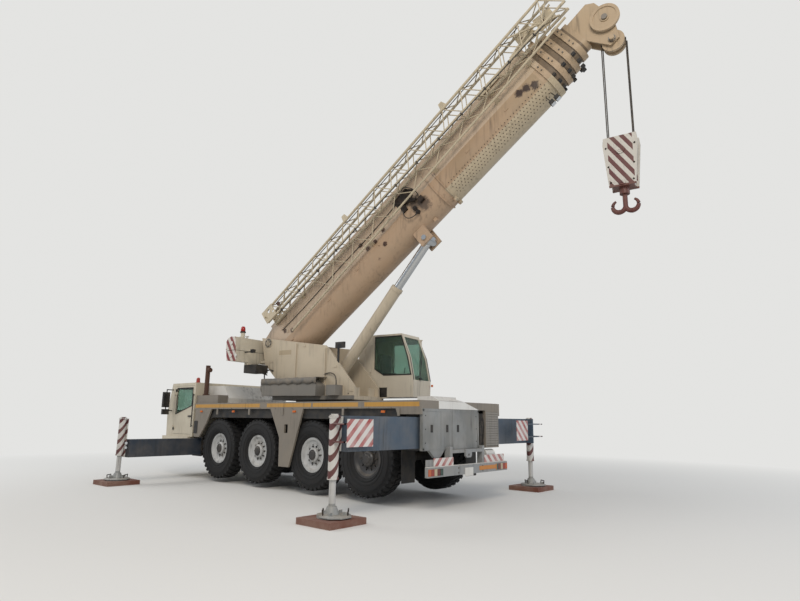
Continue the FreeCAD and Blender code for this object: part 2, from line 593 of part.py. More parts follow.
hood = plate("RearHood", "xz", [(back + 8, s.deck_top), (back + 8, s.deck_top + 10), (back + 178,
                                                                                      s.deck_top + 95),
                                (back + 538, s.deck_top + 95), (back + 538, s.deck_top)], "10", "810")
hood = cut("RearHoodCut", hood, [plate("HoodTrim", "xy", [(back - 62, 5), (back - 2, 5), (back + 178, 260),
                                                          (back + 178, 5), (back - 62, 0)], "deck_top - 80",
                                                          "300")])


def louvres(name, x, low, high, floor, top, pitch):
    """Frame facing the rear with slanted slats let into it."""
    wide = high - low
    frame = Part.makeBox(63, wide, top - floor, FreeCAD.Vector(x, low, floor))
    frame = frame.cut(Part.makeBox(60, wide - 60, top - floor - 60, FreeCAD.Vector(x - 5, low + 30,
                                                                                   floor + 30)))
    count = int((top - floor - 60) / pitch)
    slats = []
    for step in range(count):
        z = floor + 34 + pitch * step
        face = Part.makePolygon([FreeCAD.Vector(x + 6, low + 25, z), FreeCAD.Vector(x + 14, low + 25, z),
                                 FreeCAD.Vector(x + 58, low + 25, z + pitch - 14),
                                 FreeCAD.Vector(x + 50, low + 25, z + pitch - 14),
                                 FreeCAD.Vector(x + 6, low + 25, z)])
        slats.append(Part.Face(face).extrude(FreeCAD.Vector(0, wide - 50, 0)))
    return raw(name, frame.multiFuse(slats))


grille = louvres("RearGrille", s.deck_rear, -cover_side, -808, 1060, s.deck_floor, 72)
part("covers", [cover, cut("RearCoverCut", rear_cover, ties), grille, hood])
lamps = []
for place in range(5):
    lamps.append(box("RearLampLeft", "bumper_rear - 8", "half_width - 90 * %d" % (place + 1), "625", "8",
                     "82", "120"))
    lamps.append(box("RearLampRight", "bumper_rear - 8", "-half_width + 8 + 90 * %d" % place, "625", "8",
                     "82", "120"))
lamps.append(box("RearReflector", "bumper_rear - 6", "-half_width + 435", "650", "6", "640", "80"))
beacon = lathe("Beacon", [(0, 0), (75, 0), (75, 18), (52, 24), (50, 120), (36, 150), (0, 158)])
beacon.Placement = FreeCAD.Placement(FreeCAD.Vector(0, 0, 0), FreeCAD.Rotation(FreeCAD.Vector(1, 0, 0), 90))
lamps += [seat(mirrored("BeaconLeft", beacon), "cab_rear + 250", "cab_half - 200", "cab_roof"),
          seat(mirrored("BeaconRight", beacon), "cab_rear + 250", "-cab_half + 200", "cab_roof")]
part("vehicle_lamps", lamps + headlamps)

UP = {"x": "slew_x", "yaw": "slew_yaw"}

# Superstructure: ring plate, two side plates, cross walls, winch, boxes and counterweight
ring = cut("RingPlate", box("RingPlateBlank", "-1150", "-plate_outer - 150", "base_floor", "2480",
                            "2 * plate_outer + 300", "base_top - base_floor"),
           [cylinder("RingWell", "z", "0", "0", "base_floor - 10", "ring_radius - ring_wall - 20", "120")])
plate_points = [(-1790, 3690), (388, 3370), (526, 3249), (1311, 2358), (1319, s.base_top), (-1060,
                                                                                            s.base_top),
                (-1220, 2598), (-1640, 2996)]
side_plate = cut("SidePlate", plate("SidePlateBlank", "xz", plate_points, "plate_inner", "plate_thick"),
                 [cylinder("PinHole", "y", "pin_x", "plate_inner - 10", "pin_z",
                           "pin_radius + running_fit", "plate_thick + 20"),
                  cylinder("PlateHole", "y", "108", "plate_inner - 10", "2483", "70", "plate_thick + 20")])
rear_wall = box("RearWall", "-1190", "-plate_inner", "2200", "40", "2 * plate_inner", "360")
front_walls = pair("FrontWallRight", box("FrontWall", "1180", "180", "base_top", "40", "plate_inner - 180",
                                         "200"))
ribs = [box("PlateRib", x, "plate_outer", low, "26", "30", high) for x, low, high in (
    ("-560", "2560", "910"), ("398", "2420", "880"))]
washer = cut("PinWasher", cylinder("PinWasherBlank", "y", "pin_x", "plate_outer", "pin_z",
                                   "pin_radius + 55", "14"),
             [cylinder("PinWasherBore", "y", "pin_x", "plate_outer - 5", "pin_z",
                       "pin_radius + running_fit", "24")])
boss = cylinder("FootBoss", "y", "foot_x", "barrel_radius + 10", "foot_z", "110",
                "plate_inner - barrel_radius - 10")
table = [ring, rear_wall] + front_walls + pair("FootBossRight", boss)
table += pair("SidePlateRight", fuse("PlateRibbed", [side_plate, washer] + ribs))

drums = []
for spot in ("-930", "-450"):
    end = s.plate_inner
    spool = lathe("Drum", [(0, -end), (205, -end), (205, 30 - end), (175, 30 - end), (175, end - 30),
                           (205, end - 30), (205, end), (0, end)])
    drums.append(seat(spool, spot, "0", "2400"))
part("hoist_winches", drums, **UP)
grey = [plate("SideBox", "xz", [(-1300, 2157), (460, 2140), (460, 2400), (250, 2540), (-1300, 2570)],
              "-plate_outer - 380", "380"),
        cylinder("BoxMotor", "x", "-1400", "-plate_outer - 190", "2360", "150", "100"),
        box("SmallBox", "700", "-plate_outer - 300", "base_top", "290", "300", "240")]
boom_pin = cylinder("BoomPin", "y", "pin_x", "-plate_outer - 20", "pin_z", "pin_radius",
                    "2 * (plate_outer + 20)")
part("turntable", table + [boom_pin] + grey, **UP)
lower = plate("LowerWeight", "xz", [(-2200, 3035), (-1862, 3013), (-1885, 3290), (-2235, 3290)],
              "-weight_half",
              "2 * weight_half")
upper = plate("UpperWeight", "xz", [(-2250, 3302), (-1887, 3302), (-1925, 3640), (-2080, 3650), (-2190, 3610),
                                    (-2250, 3530)], "-weight_half", "2 * weight_half")
core = box("WeightCore", "-2180", "-weight_half + 40", "3290", "250", "2 * weight_half - 80", "12")
hanger = cut("WeightHanger", box("WeightArm", "-1900", "-plate_inner", "3030", "340", "2 * plate_inner",
                                 "60"), [lower])
lamp_post = cut("WeightBeacon", cylinder("WeightPost", "z", "-2030", "-weight_half + 330", "3600", "55",
                                         "190"), [upper])
under = cut("WeightValves", box("WeightValveBox", "-2000", "-weight_half + 420", "2880", "130", "360",
                                "160"), [lower])
part("counterweight", [lower, upper, core, hanger, lamp_post, under], **UP)

# Crane cab on the left of the boom
side = [(s.crane_cab_rear, s.crane_cab_floor), (s.crane_cab_front - 50, s.crane_cab_floor),
        (s.crane_cab_front - 40, s.crane_sill - 10), (s.crane_cab_front - 150, s.crane_brow),
        (s.crane_cab_front - 390, s.crane_cab_roof), (s.crane_cab_rear, s.crane_cab_roof)]
w = s.crane_wall
inside = [(s.crane_cab_rear + w, s.crane_cab_floor + w), (s.crane_cab_front - 50 - w, s.crane_cab_floor + w),
          (s.crane_cab_front - 40 - w, s.crane_sill - 10), (s.crane_cab_front - 150 - w, s.crane_brow),
          (s.crane_cab_front - 390 - w, s.crane_cab_roof - w), (s.crane_cab_rear + w, s.crane_cab_roof - w)]
outer = plate("CraneCabOuter", "xz", side, "crane_cab_near", "crane_cab_far - crane_cab_near")
inner = plate("CraneCabInner", "xz", inside, "crane_cab_near + crane_wall",
              "crane_cab_far - crane_cab_near - 2 * crane_wall")
glass_top = s.crane_cab_roof - 60
near_window = [(1130, s.pane_step), (1400, s.pane_low), (2185, s.pane_low), (2090, s.crane_brow),
               (1900, glass_top), (1130, glass_top)]
window_cut = plate("CraneSideWindow", "xz", near_window, "crane_cab_near - 10", "crane_wall + 20")
front_cut = box("CraneFrontWindow", "1850", "crane_cab_near + 70", "crane_sill", "700",
                "crane_cab_far - crane_cab_near - 140", "crane_cab_roof - 80 - crane_sill")
door_cut = box("CraneDoorHole", "1100", "crane_cab_far - crane_wall - 10", "crane_cab_floor + 50", "850",
               "crane_wall + 20", "crane_cab_roof - crane_cab_floor - 150")
crane_cab = cut("CraneCab", outer, [inner, window_cut, front_cut, door_cut])
rails = [box("DoorRail", "crane_cab_rear", "crane_cab_far", z, "1380", "46", "24")
         for z in ("crane_cab_floor + 15", "crane_cab_roof - 96")]
part("crane_cab_shell", [fuse("CraneCabRails", [crane_cab] + rails)], **UP)
side_pane = plate("CraneSidePane", "xz", near_window, "crane_cab_near + 16", "8")
pane_top = s.crane_cab_roof - 100
front_pane = plate("CraneFrontPane", "xz", [(2258 - 24, s.crane_sill), (2258 - 16, s.crane_sill),
                                            (2150 - 16, s.crane_brow), (1950 - 16, pane_top),
                                            (1950 - 24, pane_top), (2150 - 24, s.crane_brow)],
                   "crane_cab_near + 70", "crane_cab_far - crane_cab_near - 140")
part("crane_cab_glass", [side_pane, front_pane], **UP)
slider_panel = box("CraneDoorPanel", "1070", "crane_cab_far + 5", "crane_cab_floor + 46", "910", "32",
                   "crane_cab_roof - crane_cab_floor - 142 - seat_gap")
slider = cut("CraneDoor", slider_panel,
             [box("CraneDoorWindow", "1130", "crane_cab_far", "crane_cab_floor + 550", "790", "40",
                  "crane_cab_roof - crane_cab_floor - 710")])
part("crane_cab_door", [slider], **UP)
crane_seat = [box("CraneSeatBase", "1200", "crane_cab_near + 200", "crane_cab_floor + crane_wall", "400",
                  "400", "330"),
              box("CraneSeatCushion", "1150", "crane_cab_near + 160", "crane_cab_floor + 350", "520", "480",
                  "110"),
              box("CraneSeatBack", "1100", "crane_cab_near + 160", "crane_cab_floor + 350", "120", "480",
                  "crane_cab_roof - crane_cab_floor - 830")]
part("crane_cab_seat", [fuse("CraneSeat", crane_seat)], **UP)

# Boom: each section is a tube with a flat top and a rounded belly, and the inner ones nest in it
PIVOT_X = "slew_x + pin_x * cos(slew_yaw)"
BOOM = {"x": PIVOT_X, "y": "pin_x * sin(slew_yaw)", "z": "pin_z", "yaw": "slew_yaw", "pitch": "-boom_pitch"}


BELLY_TURN = 30


def bent_strip(start, end, outer, inner, turn, wide):
    """Strip of the rounded belly between two radii, from an angle about the belly's middle line."""
    middle = s.boom_floor + s.boom_half

    def spot(radius, angle):
        angle = math.radians(angle)
        return FreeCAD.Vector(start, radius * math.cos(angle), middle + radius * math.sin(angle))

    a, b, c = turn, turn + wide / 2, turn + wide
    edges = [Part.Arc(spot(outer, a), spot(outer, b), spot(outer, c)),
             Part.LineSegment(spot(outer, c), spot(inner, c)),
             Part.Arc(spot(inner, c), spot(inner, b), spot(inner, a)),
             Part.LineSegment(spot(inner, a), spot(outer, a))]
    wire = Part.Wire([edge.toShape() for edge in edges])
    return Part.Face(wire).extrude(FreeCAD.Vector(end - start, 0, 0))


def shell(start, end, inset, thick):
    """Plates of a length of boom section: flat top, two upright sides and the strips of its round belly."""
    half = s.boom_half - inset
    top = s.boom_top - inset
    middle = s.boom_floor + s.boom_half
    run = end - start
    plates = [Part.makeBox(run, 2 * half, thick, FreeCAD.Vector(start, -half, top - thick))]
    for y in (-half, half - thick):
        plates.append(Part.makeBox(run, thick, top - thick - middle, FreeCAD.Vector(start, y, middle)))
    for turn in range(180, 360, BELLY_TURN):
        plates.append(bent_strip(start, end, half, half - thick, turn, BELLY_TURN))
    return plates


def bulk(start, end, inset):
    """Solid with a boom section's outline."""
    half = s.boom_half - inset
    middle = s.boom_floor + s.boom_half
    run = FreeCAD.Vector(end - start, 0, 0)
    upper = Part.makeBox(run.x, 2 * half, s.boom_top - inset - middle, FreeCAD.Vector(start, -half, middle))
    return upper.fuse(Part.makeCylinder(half, run.x, FreeCAD.Vector(start, 0, middle), FreeCAD.Vector(1, 0,
                                                                                                      0)))


def collar(end, inset):
    """Stiffening collar round a section's mouth, 130 long."""
    return shell(end - 130, end, inset - s.collar_thick, s.collar_thick)


def wear_pads(end, inset):
    """Pads inside a section's mouth that carry the next section."""
    deep = s.section_step - s.boom_wall - s.seat_gap
    half = s.boom_half - inset
    low = bent_strip(end - 300, end - 40, half - s.boom_wall, half - s.boom_wall - deep, 258, 24)
    top = Part.makeBox(260, 2 * half - 260, deep,
                       FreeCAD.Vector(end - 300, -half + 130, s.boom_top - inset - s.boom_wall - deep))
    return [low, top]


mouth = s.boom_end + 120
tube_rear = s.boom_start + 500
foot_points = [(s.boom_start, -230), (-150, -330), (tube_rear, -425), (500, -425), (500,
                                                                                    s.boom_top - s.boom_wall),
               (430, s.boom_top - s.boom_wall), (-100, 260), (s.boom_start, 120)]
foot_block = plate("BoomFoot", "xz", foot_points, "-boom_half + boom_wall", "2 * boom_half - 2 * boom_wall")
foot_bore = cylinder("BoomFootBore", "y", "0", "-boom_half", "0", "pin_radius + running_fit", "2 * boom_half")
closing = bulk(tube_rear, tube_rear + 30, s.boom_wall).cut(
    Part.makeBox(100, 2 * s.boom_half, s.boom_half + 1000, FreeCAD.Vector(tube_rear - 10, -s.boom_half,
                                                                          -425)))
ears = [box("LiftEar", "eye_x - 170", y, "eye_z - 130", "340", "60", "420") for y in ("175", "-235")]
ears = [cut("LiftEarBored", ear, [cylinder("LiftEarBore", "y", "eye_x", "-boom_half", "eye_z",
                                           "60 + running_fit", "2 * boom_half")]) for ear in ears]
base_plates = shell(tube_rear, mouth, 0, s.boom_wall) + collar(mouth, 0) + wear_pads(mouth, 0)
part("boom_base", [raw("BoomBasePlates", Part.makeCompound(base_plates)), raw("BoomFootPlate", closing),
                   cut("BoomFootBored", foot_block, [foot_bore])]
     + [cut("LiftEarSeated", ear, [raw("BoomBulk", bulk(4000, 6000, 0))]) for ear in ears], **BOOM)

for number in (1, 2, 3, 4):
    inset = s.section_step * number
    end = mouth + s.collar_step * number
    start = 600 + 120 * number
    if number < 4:
        plates = shell(start, end, inset, s.boom_wall) + collar(end, inset) + wear_pads(end, inset)
        part("boom_section_%d" % (number + 1), [raw("Section", Part.makeCompound(plates))], **BOOM)
    else:
        end = end - 100
        section = raw("Section", Part.makeCompound(shell(start, end, inset, s.boom_wall)))
        head = plate("BoomHead", "xz", [(end, -560), (end, 120), (s.head_end - 120, 140), (s.head_end, 0),
                                        (s.head_end, -560), (s.sheave_x + 110, s.sheave_z - 80),
                                        (s.sheave_x - 110, s.sheave_z - 80)], "120", "40")
        cap = raw("HeadCap", bulk(end - 30, end, inset + s.boom_wall))
        sheaves = fuse("Sheaves", [cylinder("SheavePin", "y", "sheave_x", "-240", "sheave_z", "50", "480")]
                       + [cylinder("Sheave", "y", "sheave_x", y, "sheave_z", "sheave_radius", "60")
                          for y in ("-100", "40")])
        far = s.pulley_radius
        pulley = lathe("HeadPulley", [(0, -28), (95, -28), (95, -12), (far - 62, -12), (far - 62, -28),
                                      (far, -28),
                                      (far - 24, 0), (far, 28), (far - 62, 28), (far - 62, 12), (95, 12),
                                      (95, 28),
                                      (0, 28)])
        seat(pulley, "pulley_x", "-215", "pulley_z")
        pulley_pin = cylinder("PulleyPin", "y", "pulley_x", "-262", "pulley_z", "45", "432")
        part("boom_section_5", [section, fuse("Head", [cap, sheaves, pulley, pulley_pin]
                                              + pair("BoomHeadRight", head))], **BOOM)


def lattice():
    """Folded jib: four chords that spread towards the boom head, zigzag lacing and tip plates."""
    start, end = s.jib_start, s.jib_end
    near, far = -(s.boom_half + 330), -(s.boom_half + 70)
    solids = []

    def spot(x, y, level):
        share = (x - start) / (end - start)
        top = 580 + 130 * share
        depth = 300 + 260 * share
        return FreeCAD.Vector(x, y, top if level else top - depth)

    def lace(a, b):
        """Lace between two chord centres, which ends at the surface of each chord."""
        run = b - a
        slope = run.getAngle(FreeCAD.Vector(1, 0, 0))
        back = (s.chord_radius + s.seat_gap + s.lace_radius * abs(math.cos(slope))) / math.sin(slope)
        run.normalize()
        return bar("Lace", a + run * back, b - run * back, s.lace_radius)

    for y in (near, far):
        for level in (0, 1):
            solids.append(bar("Chord", spot(start, y, level), spot(end, y, level), s.chord_radius))
    count = int(s.jib_bays)
    pitch = (end - start) / count
    for step in range(count):
        a, b = start + pitch * step, start + pitch * (step + 1)
        up = step % 2
        for y in (near, far):
            solids.append(lace(spot(a, y, up), spot(b, y, 1 - up)))
        for level in (0, 1):
            pairs = (near, far) if up else (far, near)
            solids.append(lace(spot(a, pairs[0], level), spot(b, pairs[1], level)))
    inner = far + s.chord_radius + s.seat_gap
    for x in (1500, 5000, 8200):
        z = spot(x, far, 0).z
        solids.append(Part.makeBox(90, -s.boom_half - inner, 110, FreeCAD.Vector(x, inner, z - 55)))
    low, high = spot(start, near, 0).z, spot(start, near, 1).z
    pin = bar("TipPin", (start + 30, near - 90, low + 150), (start + 30, far + 90, low + 150), 22)
    bored = bar("TipBore", (start + 30, near - 95, low + 150), (start + 30, far + 95, low + 150),
                22 + s.running_fit)
    for y in (near - s.chord_radius - s.seat_gap - 14, inner):
        tip = Part.makeBox(400, 14, high - low + 60, FreeCAD.Vector(start - 30, y, low - 30)).cut(bored)
        for x, z, radius in ((200, 210, 52), (310, 110, 30)):
            tip = tip.cut(Part.makeCylinder(radius, 20, FreeCAD.Vector(start + x, y - 3, low + z),
                                            FreeCAD.Vector(0, 1, 0)))
        solids.append(tip)
    solids.append(pin)
    return Part.makeCompound(solids)


part("folding_jib", [raw("Jib", lattice())], **BOOM)

# Lift cylinder, hung at the boom's eye pin: its own frame is the eye, with x back down the barrel
lean = math.radians(s.boom_pitch)
eye_h = s.pin_x + s.eye_x * math.cos(lean) - s.eye_z * math.sin(lean)
eye_v = s.pin_z + s.eye_x * math.sin(lean) + s.eye_z * math.cos(lean)
reach = math.hypot(eye_h - s.foot_x, eye_v - s.foot_z)
lean_angle = math.degrees(math.atan2(eye_v - s.foot_z, eye_h - s.foot_x))
LIFT = {"x": "slew_x + %f * cos(slew_yaw)" % eye_h, "y": "%f * sin(slew_yaw)" % eye_h, "z": "%f" % eye_v,
        "yaw": "slew_yaw", "pitch": "%f" % -lean_angle}
rod_bar = cylinder("LiftRod", "x", "-rod_length", "0", "0", "lift_rod_radius", "rod_length - 80")
rod_eye = cylinder("LiftEye", "y", "0", "-165", "0", "125", "330")
eye_pin = cylinder("LiftPin", "y", "0", "-270", "0", "60", "540")
part("lift_rod", [fuse("LiftRodSolid", [rod_bar, rod_eye, eye_pin])], **LIFT)
barrel = cut("Barrel", fuse("BarrelBlank", [
    cylinder("BarrelTube", "x", "%f" % -reach, "0", "0", "barrel_radius", "gland_reach"),
    cylinder("BarrelFoot", "y", "%f" % -reach, "-barrel_radius + 12", "0", "barrel_radius + 3",
             "2 * barrel_radius - 24")]),
    [cylinder("BarrelBore", "x", "%f" % (-reach + 160), "0", "0", "lift_rod_radius + running_fit",
              "gland_reach")])
part("lift_barrel", [barrel], **LIFT)

# Hook block on its rope falls, hanging plumb below the head sheaves
bx = s.sheave_x * math.cos(lean) - s.sheave_z * math.sin(lean)
bz = s.sheave_x * math.sin(lean) + s.sheave_z * math.cos(lean)
HANG = {"x": "slew_x + %f * cos(slew_yaw)" % (s.pin_x + bx), "y": "%f * sin(slew_yaw)" % (s.pin_x + bx),
        "z": "%f" % (s.pin_z + bz), "yaw": "slew_yaw"}
falls = [cylinder("Fall", "z", x, y, "-2450", "rope_radius", "2450") for x in ("-fall_reach", "fall_reach")
         for y in ("-70", "70")]
part("rope_falls", falls, **HANG)
cheek = plate("BlockCheek", "xz", [(-310, -2150), (310, -2150), (330, -2300), (250, -3200), (-250, -3200),
                                   (-330, -2300)], "130", "30")
core = fuse("BlockCore", [cylinder("BlockSheave", "y", "0", "-130", "-2450", "sheave_radius", "260"),
                          box("BlockWeight", "-200", "-130", "-3200", "400", "260", "500")])


def double_hook(reach, thick, height):
    """Ramshorn hook: shank and two horns, each most of a ring that thins to a rounded tip."""
    shank = Part.makeCylinder(thick, 330, FreeCAD.Vector(0, 0, height))
    solids = [shank]
    for sign in (1, -1):
        middle = FreeCAD.Vector(sign * reach, 0, height)
        horn = Part.makeTorus(reach, thick, middle, FreeCAD.Vector(0, sign, 0), 0, 360, 200)
        horn.rotate(middle, FreeCAD.Vector(0, 1, 0), 180 if sign > 0 else 0)
        solids.append(horn)
    return shank.multiFuse(solids[1:])


hook = raw("DoubleHook", double_hook(120, 46, -3560))
nut = cylinder("HookNut", "z", "0", "0", "-3330", "95", "140")
side_pulleys = [cylinder("BlockPin", "y", "0", "-175", "-2450", "60", "350"),
                cylinder("HookPin", "y", "0", "-175", "-3090", "50", "350")]
part("hook_block", [fuse("Block", [core, nut, hook] + side_pulleys + pair("BlockCheekRight", cheek))], **HANG)

doc.recompute()
total = Part.makeCompound([node.Shape for node in NODES]).BoundBox
shift = -(total.XMin + total.XMax) / 2
sheet.set("origin_shift", "%.3f" % shift)
doc.recompute()

for thing in doc.Objects:
    if "Invalid" in thing.State or "Error" in thing.State:
        raise RuntimeError("%s is not built: %s" % (thing.Label, thing.State))
for node in NODES:
    shape = node.Shape
    if shape.isNull() or not shape.isValid() or not shape.Solids:
        raise RuntimeError("%s has no valid solid" % node.Label)
    shape.exportStep("parts/%s.step" % node.Label)
box_all = Part.makeCompound([node.Shape for node in NODES]).BoundBox
print("nodes", len(NODES), "size", box_all.XLength, box_all.YLength, box_all.ZLength, "moved by %.3f" % shift)
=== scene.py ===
import json
import math
import random

import bmesh
import bpy
from mathutils import Matrix, Vector


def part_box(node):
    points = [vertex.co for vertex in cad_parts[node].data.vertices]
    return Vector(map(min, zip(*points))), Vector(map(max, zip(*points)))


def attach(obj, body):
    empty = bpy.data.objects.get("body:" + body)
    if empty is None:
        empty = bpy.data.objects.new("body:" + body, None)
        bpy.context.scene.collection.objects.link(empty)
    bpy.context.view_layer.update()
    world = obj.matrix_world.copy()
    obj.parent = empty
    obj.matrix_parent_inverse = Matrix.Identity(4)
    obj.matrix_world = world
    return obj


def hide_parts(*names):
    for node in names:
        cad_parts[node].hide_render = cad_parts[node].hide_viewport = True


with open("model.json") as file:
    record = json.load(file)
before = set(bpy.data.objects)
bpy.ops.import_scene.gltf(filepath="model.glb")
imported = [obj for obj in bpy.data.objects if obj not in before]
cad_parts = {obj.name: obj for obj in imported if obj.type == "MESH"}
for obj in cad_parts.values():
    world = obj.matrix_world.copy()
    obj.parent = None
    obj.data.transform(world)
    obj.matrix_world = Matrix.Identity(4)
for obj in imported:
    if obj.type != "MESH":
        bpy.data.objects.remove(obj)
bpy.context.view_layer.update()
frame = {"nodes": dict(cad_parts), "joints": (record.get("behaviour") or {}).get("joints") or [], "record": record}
NODES = frame["nodes"]
random.seed(7)


# Sizes in metres that place the dressing, read from the frame where it holds them
def place(joint):
    """Pivot of a joint, in metres."""
    return Vector(next(j for j in frame["joints"] if j["name"] == joint)["pos_m"])


def heading(joint):
    """Axis of a joint as a unit vector."""
    return Vector(next(j for j in frame["joints"] if j["name"] == joint)["axis"]).normalized()


SLEW = place("slew")
BOOM_PIN = place("boom_luff")
ALONG = heading("telescope_2")
ACROSS = -heading("boom_luff")
SQUARE = ALONG.cross(ACROSS)
FRONT = Vector((ALONG.x, ALONG.y, 0)).normalized()
SIDES = (("left", 1), ("right", -1))
AXLES = ("one", "two", "three", "four")
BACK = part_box("vehicle_lamps")[0].x + 0.17
HALF_WIDTH = 1.375


def on_boom(x, y, z):
    """Point given along, across and square to the boom from its foot pin."""
    return BOOM_PIN + ALONG * x + ACROSS * y + SQUARE * z


def on_top(x, y, z):
    """Point given in the superstructure: forward of the slewing axis, to its left and above the ground."""
    return Vector((SLEW.x, SLEW.y, 0)) + FRONT * x + ACROSS * y + Vector((0, 0, z))


BOOM_TURN = Matrix((ALONG, ACROSS, SQUARE)).transposed().to_4x4()
TOP_TURN = Matrix((FRONT, ACROSS, Vector((0, 0, 1)))).transposed().to_4x4()
ON_BOOM = Matrix.Translation(BOOM_PIN) @ BOOM_TURN
ON_TOP = Matrix.Translation(Vector((SLEW.x, SLEW.y, 0))) @ TOP_TURN


# Shader helpers
def srgb(text):
    """Linear colour of an sRGB hex value."""
    parts = [int(text[i:i + 2], 16) / 255 for i in (1, 3, 5)]
    return tuple(p / 12.92 if p <= 0.04045 else ((p + 0.055) / 1.055) ** 2.4 for p in parts) + (1.0,)


def node(tree, kind, inputs=None, **settings):
    """Adds a shader node with its settings, and sets or links its inputs."""
    made = tree.nodes.new(kind)
    for key, value in settings.items():
        setattr(made, key, value)
    for key, value in (inputs or {}).items():
        socket = made.inputs[key]
        if isinstance(value, bpy.types.NodeSocket):
            tree.links.new(value, socket)
        else:
            socket.default_value = value
    return made


def blank(name):
    """New material with an empty tree and its output, shader and object coordinates."""
    material = bpy.data.materials.new(name)
    material.use_nodes = True
    tree = material.node_tree
    tree.nodes.clear()
    shader = node(tree, "ShaderNodeBsdfPrincipled")
    node(tree, "ShaderNodeOutputMaterial", {"Surface": shader.outputs[0]})
    coords = node(tree, "ShaderNodeTexCoord").outputs["Object"]
    return material, tree, shader, coords


def noise(tree, coords, size_mm, detail=4.0, stretch=(1, 1, 1), rough=0.55):
    """Noise whose grain is about size_mm across, stretched along the axes."""
    scaled = node(tree, "ShaderNodeMapping", {"Vector": coords, "Scale": [1000 / size_mm * s for s in stretch]})
    return node(tree, "ShaderNodeTexNoise", {"Vector": scaled.outputs[0], "Scale": 1.0, "Detail": detail,
                                             "Roughness": rough}).outputs[0]


def ramp(tree, value, low, high, start=0.0, end=1.0):
    """Value mapped from low..high to start..end, held at the ends."""
    return node(tree, "ShaderNodeMapRange", {0: value, 1: low, 2: high, 3: start, 4: end}).outputs[0]


def maths(tree, operation, a, b=0.0):
    """One arithmetic step."""
    return node(tree, "ShaderNodeMath", {0: a, 1: b}, operation=operation).outputs[0]


def blend(tree, factor, a, b, kind="MIX"):
    """Mix of two colours."""
    return node(tree, "ShaderNodeMix", {0: factor, 6: a, 7: b}, data_type="RGBA", blend_type=kind).outputs[2]


def axis_of(tree, coords, direction, origin=(0, 0, 0)):
    """Distance along a direction from an origin, in metres."""
    moved = node(tree, "ShaderNodeVectorMath", {0: coords, 1: tuple(origin)}, operation="SUBTRACT").outputs[0]
    return node(tree, "ShaderNodeVectorMath", {0: moved, 1: tuple(direction)}, operation="DOT_PRODUCT").outputs[1]


def between(tree, value, low, high):
    """1 where low < value < high, else 0."""
    above = maths(tree, "GREATER_THAN", value, low)
    return maths(tree, "MULTIPLY", above, maths(tree, "LESS_THAN", value, high))


def upward(tree):
    """How far a surface faces up, from 0 to 1."""
    normal = node(tree, "ShaderNodeNewGeometry").outputs["Normal"]
    split = node(tree, "ShaderNodeSeparateXYZ", {0: normal})
    return split.outputs[2]


DUST = srgb("#9b8d79")
GRIME = srgb("#2b2621")


def weathered(material, tree, shader, coords, colour, dust=0.5, grime=0.35, rough=(0.35, 0.6), chips=None):
    """Paint that has been outside: faded patches, rain streaks, dust on top faces and a little orange peel."""
    fade = noise(tree, coords, 420, 5)
    colour = blend(tree, ramp(tree, fade, 0.35, 0.75, 0.0, 0.22), colour, DUST)
    streaks = noise(tree, coords, 60, 3, (1, 1, 0.07))
    patch = noise(tree, coords, 650, 2)
    dirty = maths(tree, "MULTIPLY", ramp(tree, streaks, 0.5, 0.72), ramp(tree, patch, 0.42, 0.65))
    colour = blend(tree, maths(tree, "MULTIPLY", dirty, grime), colour, GRIME)
    settled = maths(tree, "MULTIPLY", ramp(tree, upward(tree), 0.35, 0.95), ramp(tree, fade, 0.25, 0.6, 0.4, 1.0))
    colour = blend(tree, maths(tree, "MULTIPLY", settled, dust), colour, DUST)
    if chips:
        spots = ramp(tree, noise(tree, coords, 45, 8, rough=0.7), 0.66, 0.69)
        colour = blend(tree, spots, colour, srgb(chips))
    tree.links.new(colour, shader.inputs["Base Color"])
    tree.links.new(ramp(tree, patch, 0.3, 0.7, *rough), shader.inputs["Roughness"])
    peel = noise(tree, coords, 9, 2)
    bump = node(tree, "ShaderNodeBump", {"Strength": 0.12, "Distance": 0.001, "Height": peel})
    tree.links.new(bump.outputs[0], shader.inputs["Normal"])
    return material


def paint(name, colour, zones=None, **wear):
    """Sprayed two-pack enamel on steel, semi-gloss, which the weather has dulled."""
    material, tree, shader, coords = blank(name)
    shader.inputs["IOR"].default_value = 1.5
    shade = blend(tree, 0.0, srgb(colour), srgb(colour))
    for zone in zones or ():
        shade = zone(tree, coords, shade)
    return weathered(material, tree, shader, coords, shade, **wear)


def plain(name, colour, rough=0.6, metal=0.0, grain_mm=6, bump=0.2, spread=0.25, other=None):
    """Moulded, cast or woven surface with a fine grain and an uneven tone."""
    material, tree, shader, coords = blank(name)
    tone = noise(tree, coords, grain_mm * 25, 5)
    mix = blend(tree, ramp(tree, tone, 0.35, 0.7, 0.0, spread), srgb(colour), srgb(other) if other else DUST)
    tree.links.new(mix, shader.inputs["Base Color"])
    shader.inputs["Metallic"].default_value = metal
    tree.links.new(ramp(tree, tone, 0.3, 0.7, rough - 0.1, rough + 0.1), shader.inputs["Roughness"])
    grain = noise(tree, coords, grain_mm, 3)
    relief = node(tree, "ShaderNodeBump", {"Strength": bump, "Distance": 0.001, "Height": grain})
    tree.links.new(relief.outputs[0], shader.inputs["Normal"])
    return material


def diagonal(tree, coords, along, up, width):
    """1 on every other diagonal band of a given width."""
    across = maths(tree, "ADD", axis_of(tree, coords, along), axis_of(tree, coords, up))
    return maths(tree, "GREATER_THAN", node(tree, "ShaderNodeMath", {0: maths(tree, "DIVIDE", across, 2 * width)},
                                            operation="FRACT").outputs[0], 0.5)


# Colours of the paints, as hex values in sRGB
SAND = "#b0957a"
# Next two: the sand made lighter as painted highlight, on the boom's upper flank and on its belly
SAND_LIT = "#bba791"
BELLY_LIT_SAND = "#b8a98f"
CREAM = "#c6bda9"
GREY_BOX = "#77746e"
TAUPE = "#7d766c"
BAND_RED = "#5a2a2c"


